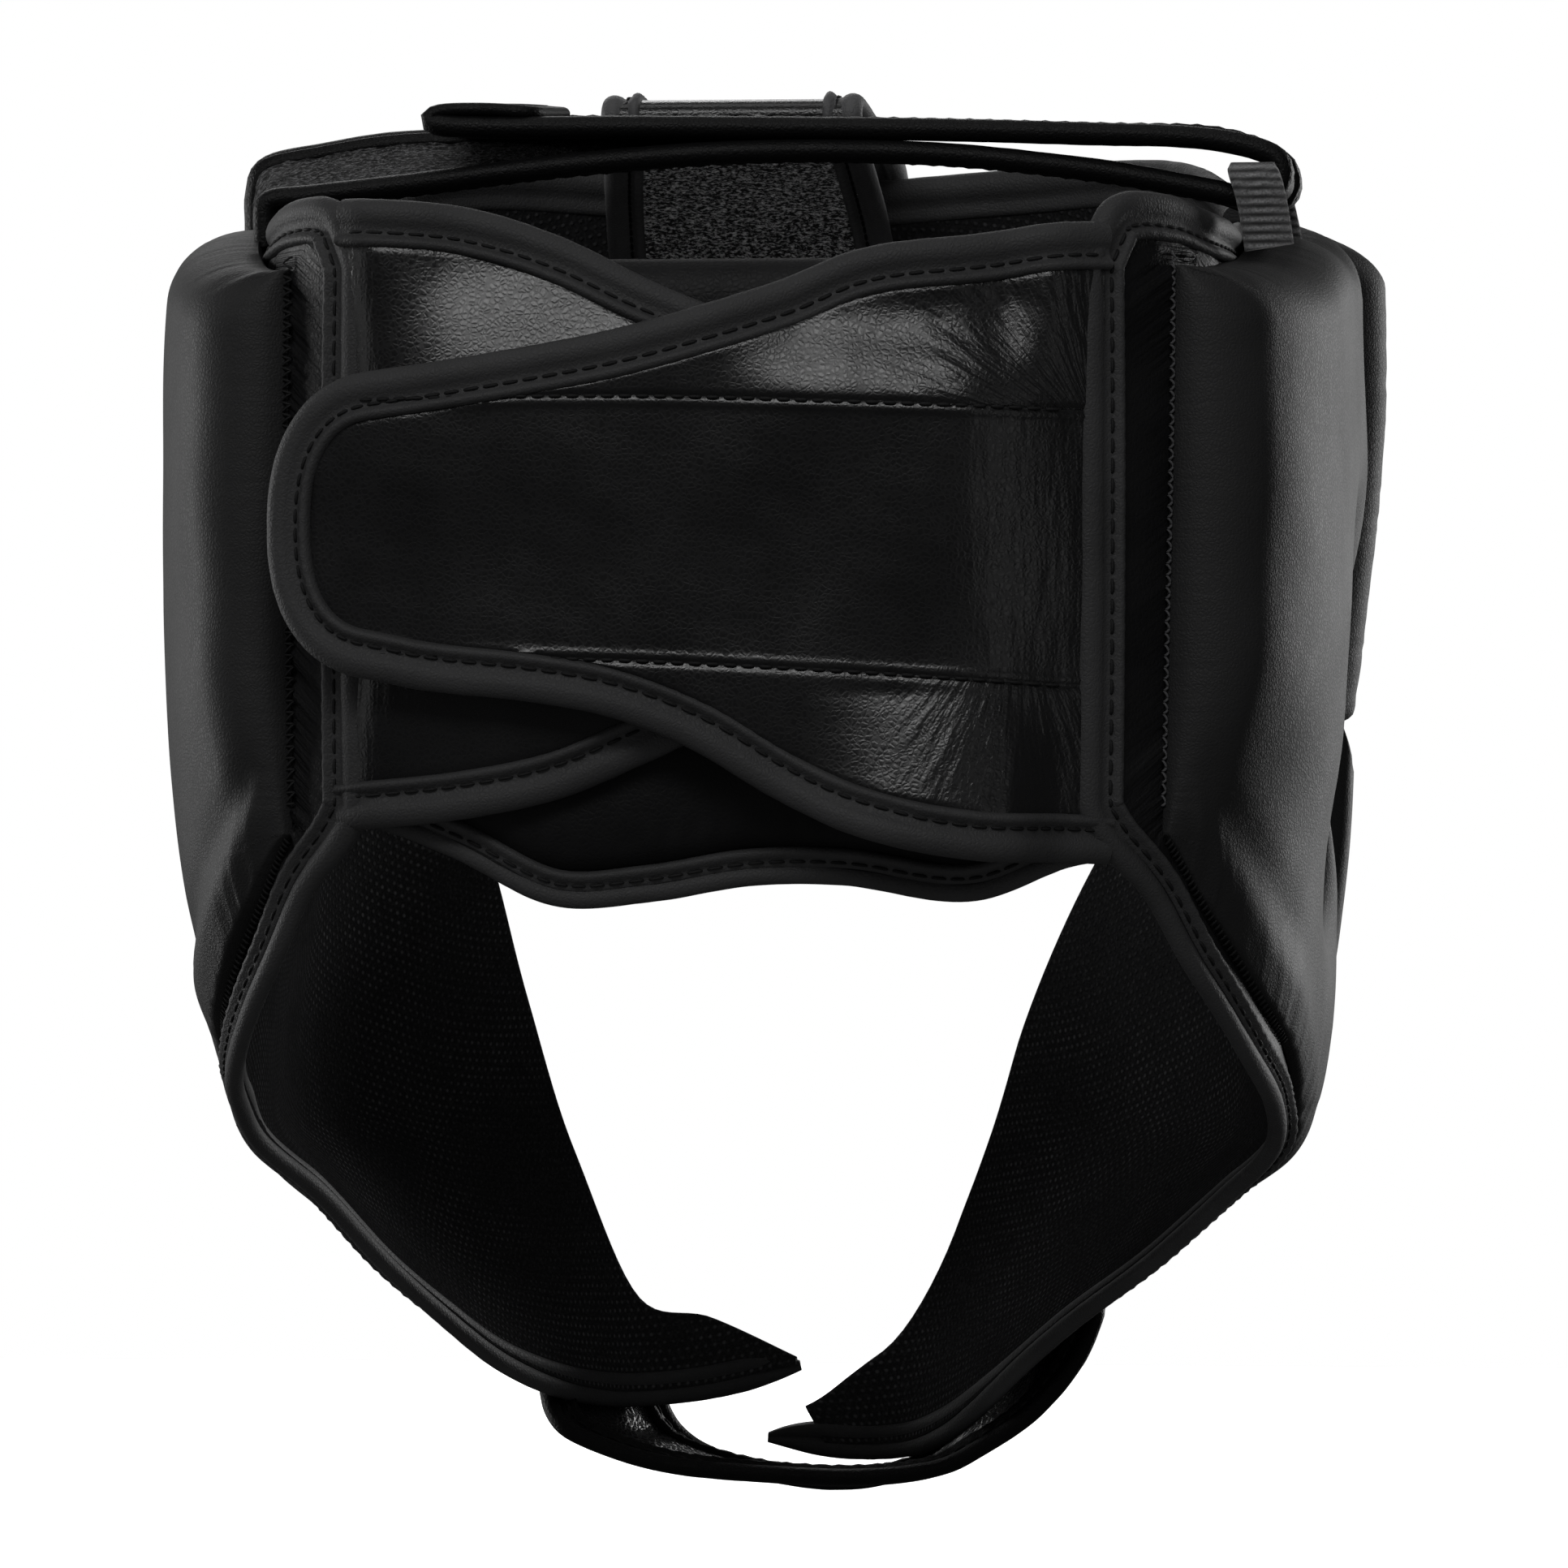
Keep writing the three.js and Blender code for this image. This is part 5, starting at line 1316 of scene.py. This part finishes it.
# Chin strap and its bindings
# A strap of glossy leather under the chin, from outside the left flap to outside the right cheek.
# It is bound and stitched all round.
CHIN_STRAP = (  # rear edge across, rearward and height, then the same of the front edge
    (55.4, -74.8, -96, 34.8, -87.4, -96), (50.8, -72, -107, 31.3, -87, -107),
    (47, -62, -116.8, 28, -88, -117.5), (38, -60.5, -121.6, 23.5, -89, -123),
    (24, -59, -125, 16.5, -89, -126.4), (4, -59, -126.4, 7, -89, -129), (-11, -59, -126.6, -2, -88, -130),
    (-25, -58, -124.8, -10, -86, -129),
    (-33.6, -55, -120.4, -18.5, -84, -126), (-43.4, -51, -113.5, -26, -83, -119.5),
    (-51.4, -50.5, -104, -30.5, -83.5, -110), (-56, -50, -93, -34, -84, -99))
CHIN_ROLL = 1.8
CHIN_THICKNESS = 1.6
CHIN_TRIM = 0.15
CHIN_EDGE = 0.05

glossy_leather = leather_finish(
    "glossy_leather", (0.004, 0.004, 0.0043), (0.007, 0.007, 0.0074), roughness=0.24, grain_size=0.0012,
    grain_depth=0.05, wrinkle_depth=0.25)


def chin_place(row, share, out):
    edges, change = (np.moveaxis(columns, 0, -1) for columns in strap_rows(CHIN_STRAP, row))
    share = np.asarray(share)[..., None]
    along = blend(change[..., :3], change[..., 3:], share)
    normal = unit(np.cross(along, edges[..., 3:] - edges[..., :3]))
    return blend(edges[..., :3], edges[..., 3:], share) + normal * np.asarray(out)[..., None]


chin_last = len(CHIN_STRAP) - 1
chin_ends = (CHIN_TRIM, chin_last - CHIN_TRIM)
chin_shares = np.linspace(CHIN_EDGE, 1 - CHIN_EDGE, 40)
row, share = np.meshgrid(np.linspace(*chin_ends, 160), chin_shares, indexing="ij")
flat_place = chin_place(row, share, 0 * row)
bend = 0.3 * unevenness(flat_place, 14, 111) + 0.08 * unevenness(flat_place, 6, 112)
chin_upper = chin_place(row, share, CHIN_THICKNESS / 2 + bend)
chin_under = chin_place(row, share, bend - CHIN_THICKNESS / 2)
chin = add_sheet("chin_band", chin_upper, chin_under, [glossy_leather])
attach(chin, "root")
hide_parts("chin_strap")
rows = np.linspace(*chin_ends, 220)
near_half, far_half = chin_shares[19::-1], chin_shares[:19:-1]
edge_rows = np.concatenate([
    rows[0] + 0 * near_half, rows, rows[-1] + 0 * chin_shares, rows[::-1], rows[0] + 0 * far_half])
edge_shares = np.concatenate([
    near_half, CHIN_EDGE + 0 * rows, chin_shares, 1 - CHIN_EDGE + 0 * rows, far_half])
chin_outline = chin_place(edge_rows, edge_shares, 0 * edge_rows)
chin_facing = unit(chin_place(edge_rows, edge_shares, 0 * edge_rows + 3.0) - chin_outline)
bound_edge("chin_band_roll", chin_outline, chin_facing, 1, CHIN_ROLL, STRAP_THICKNESS / 2,
           ["chin_strap_binding_rear", "chin_strap_binding_front"], soften=3.0, finish=painted_shade_leather)
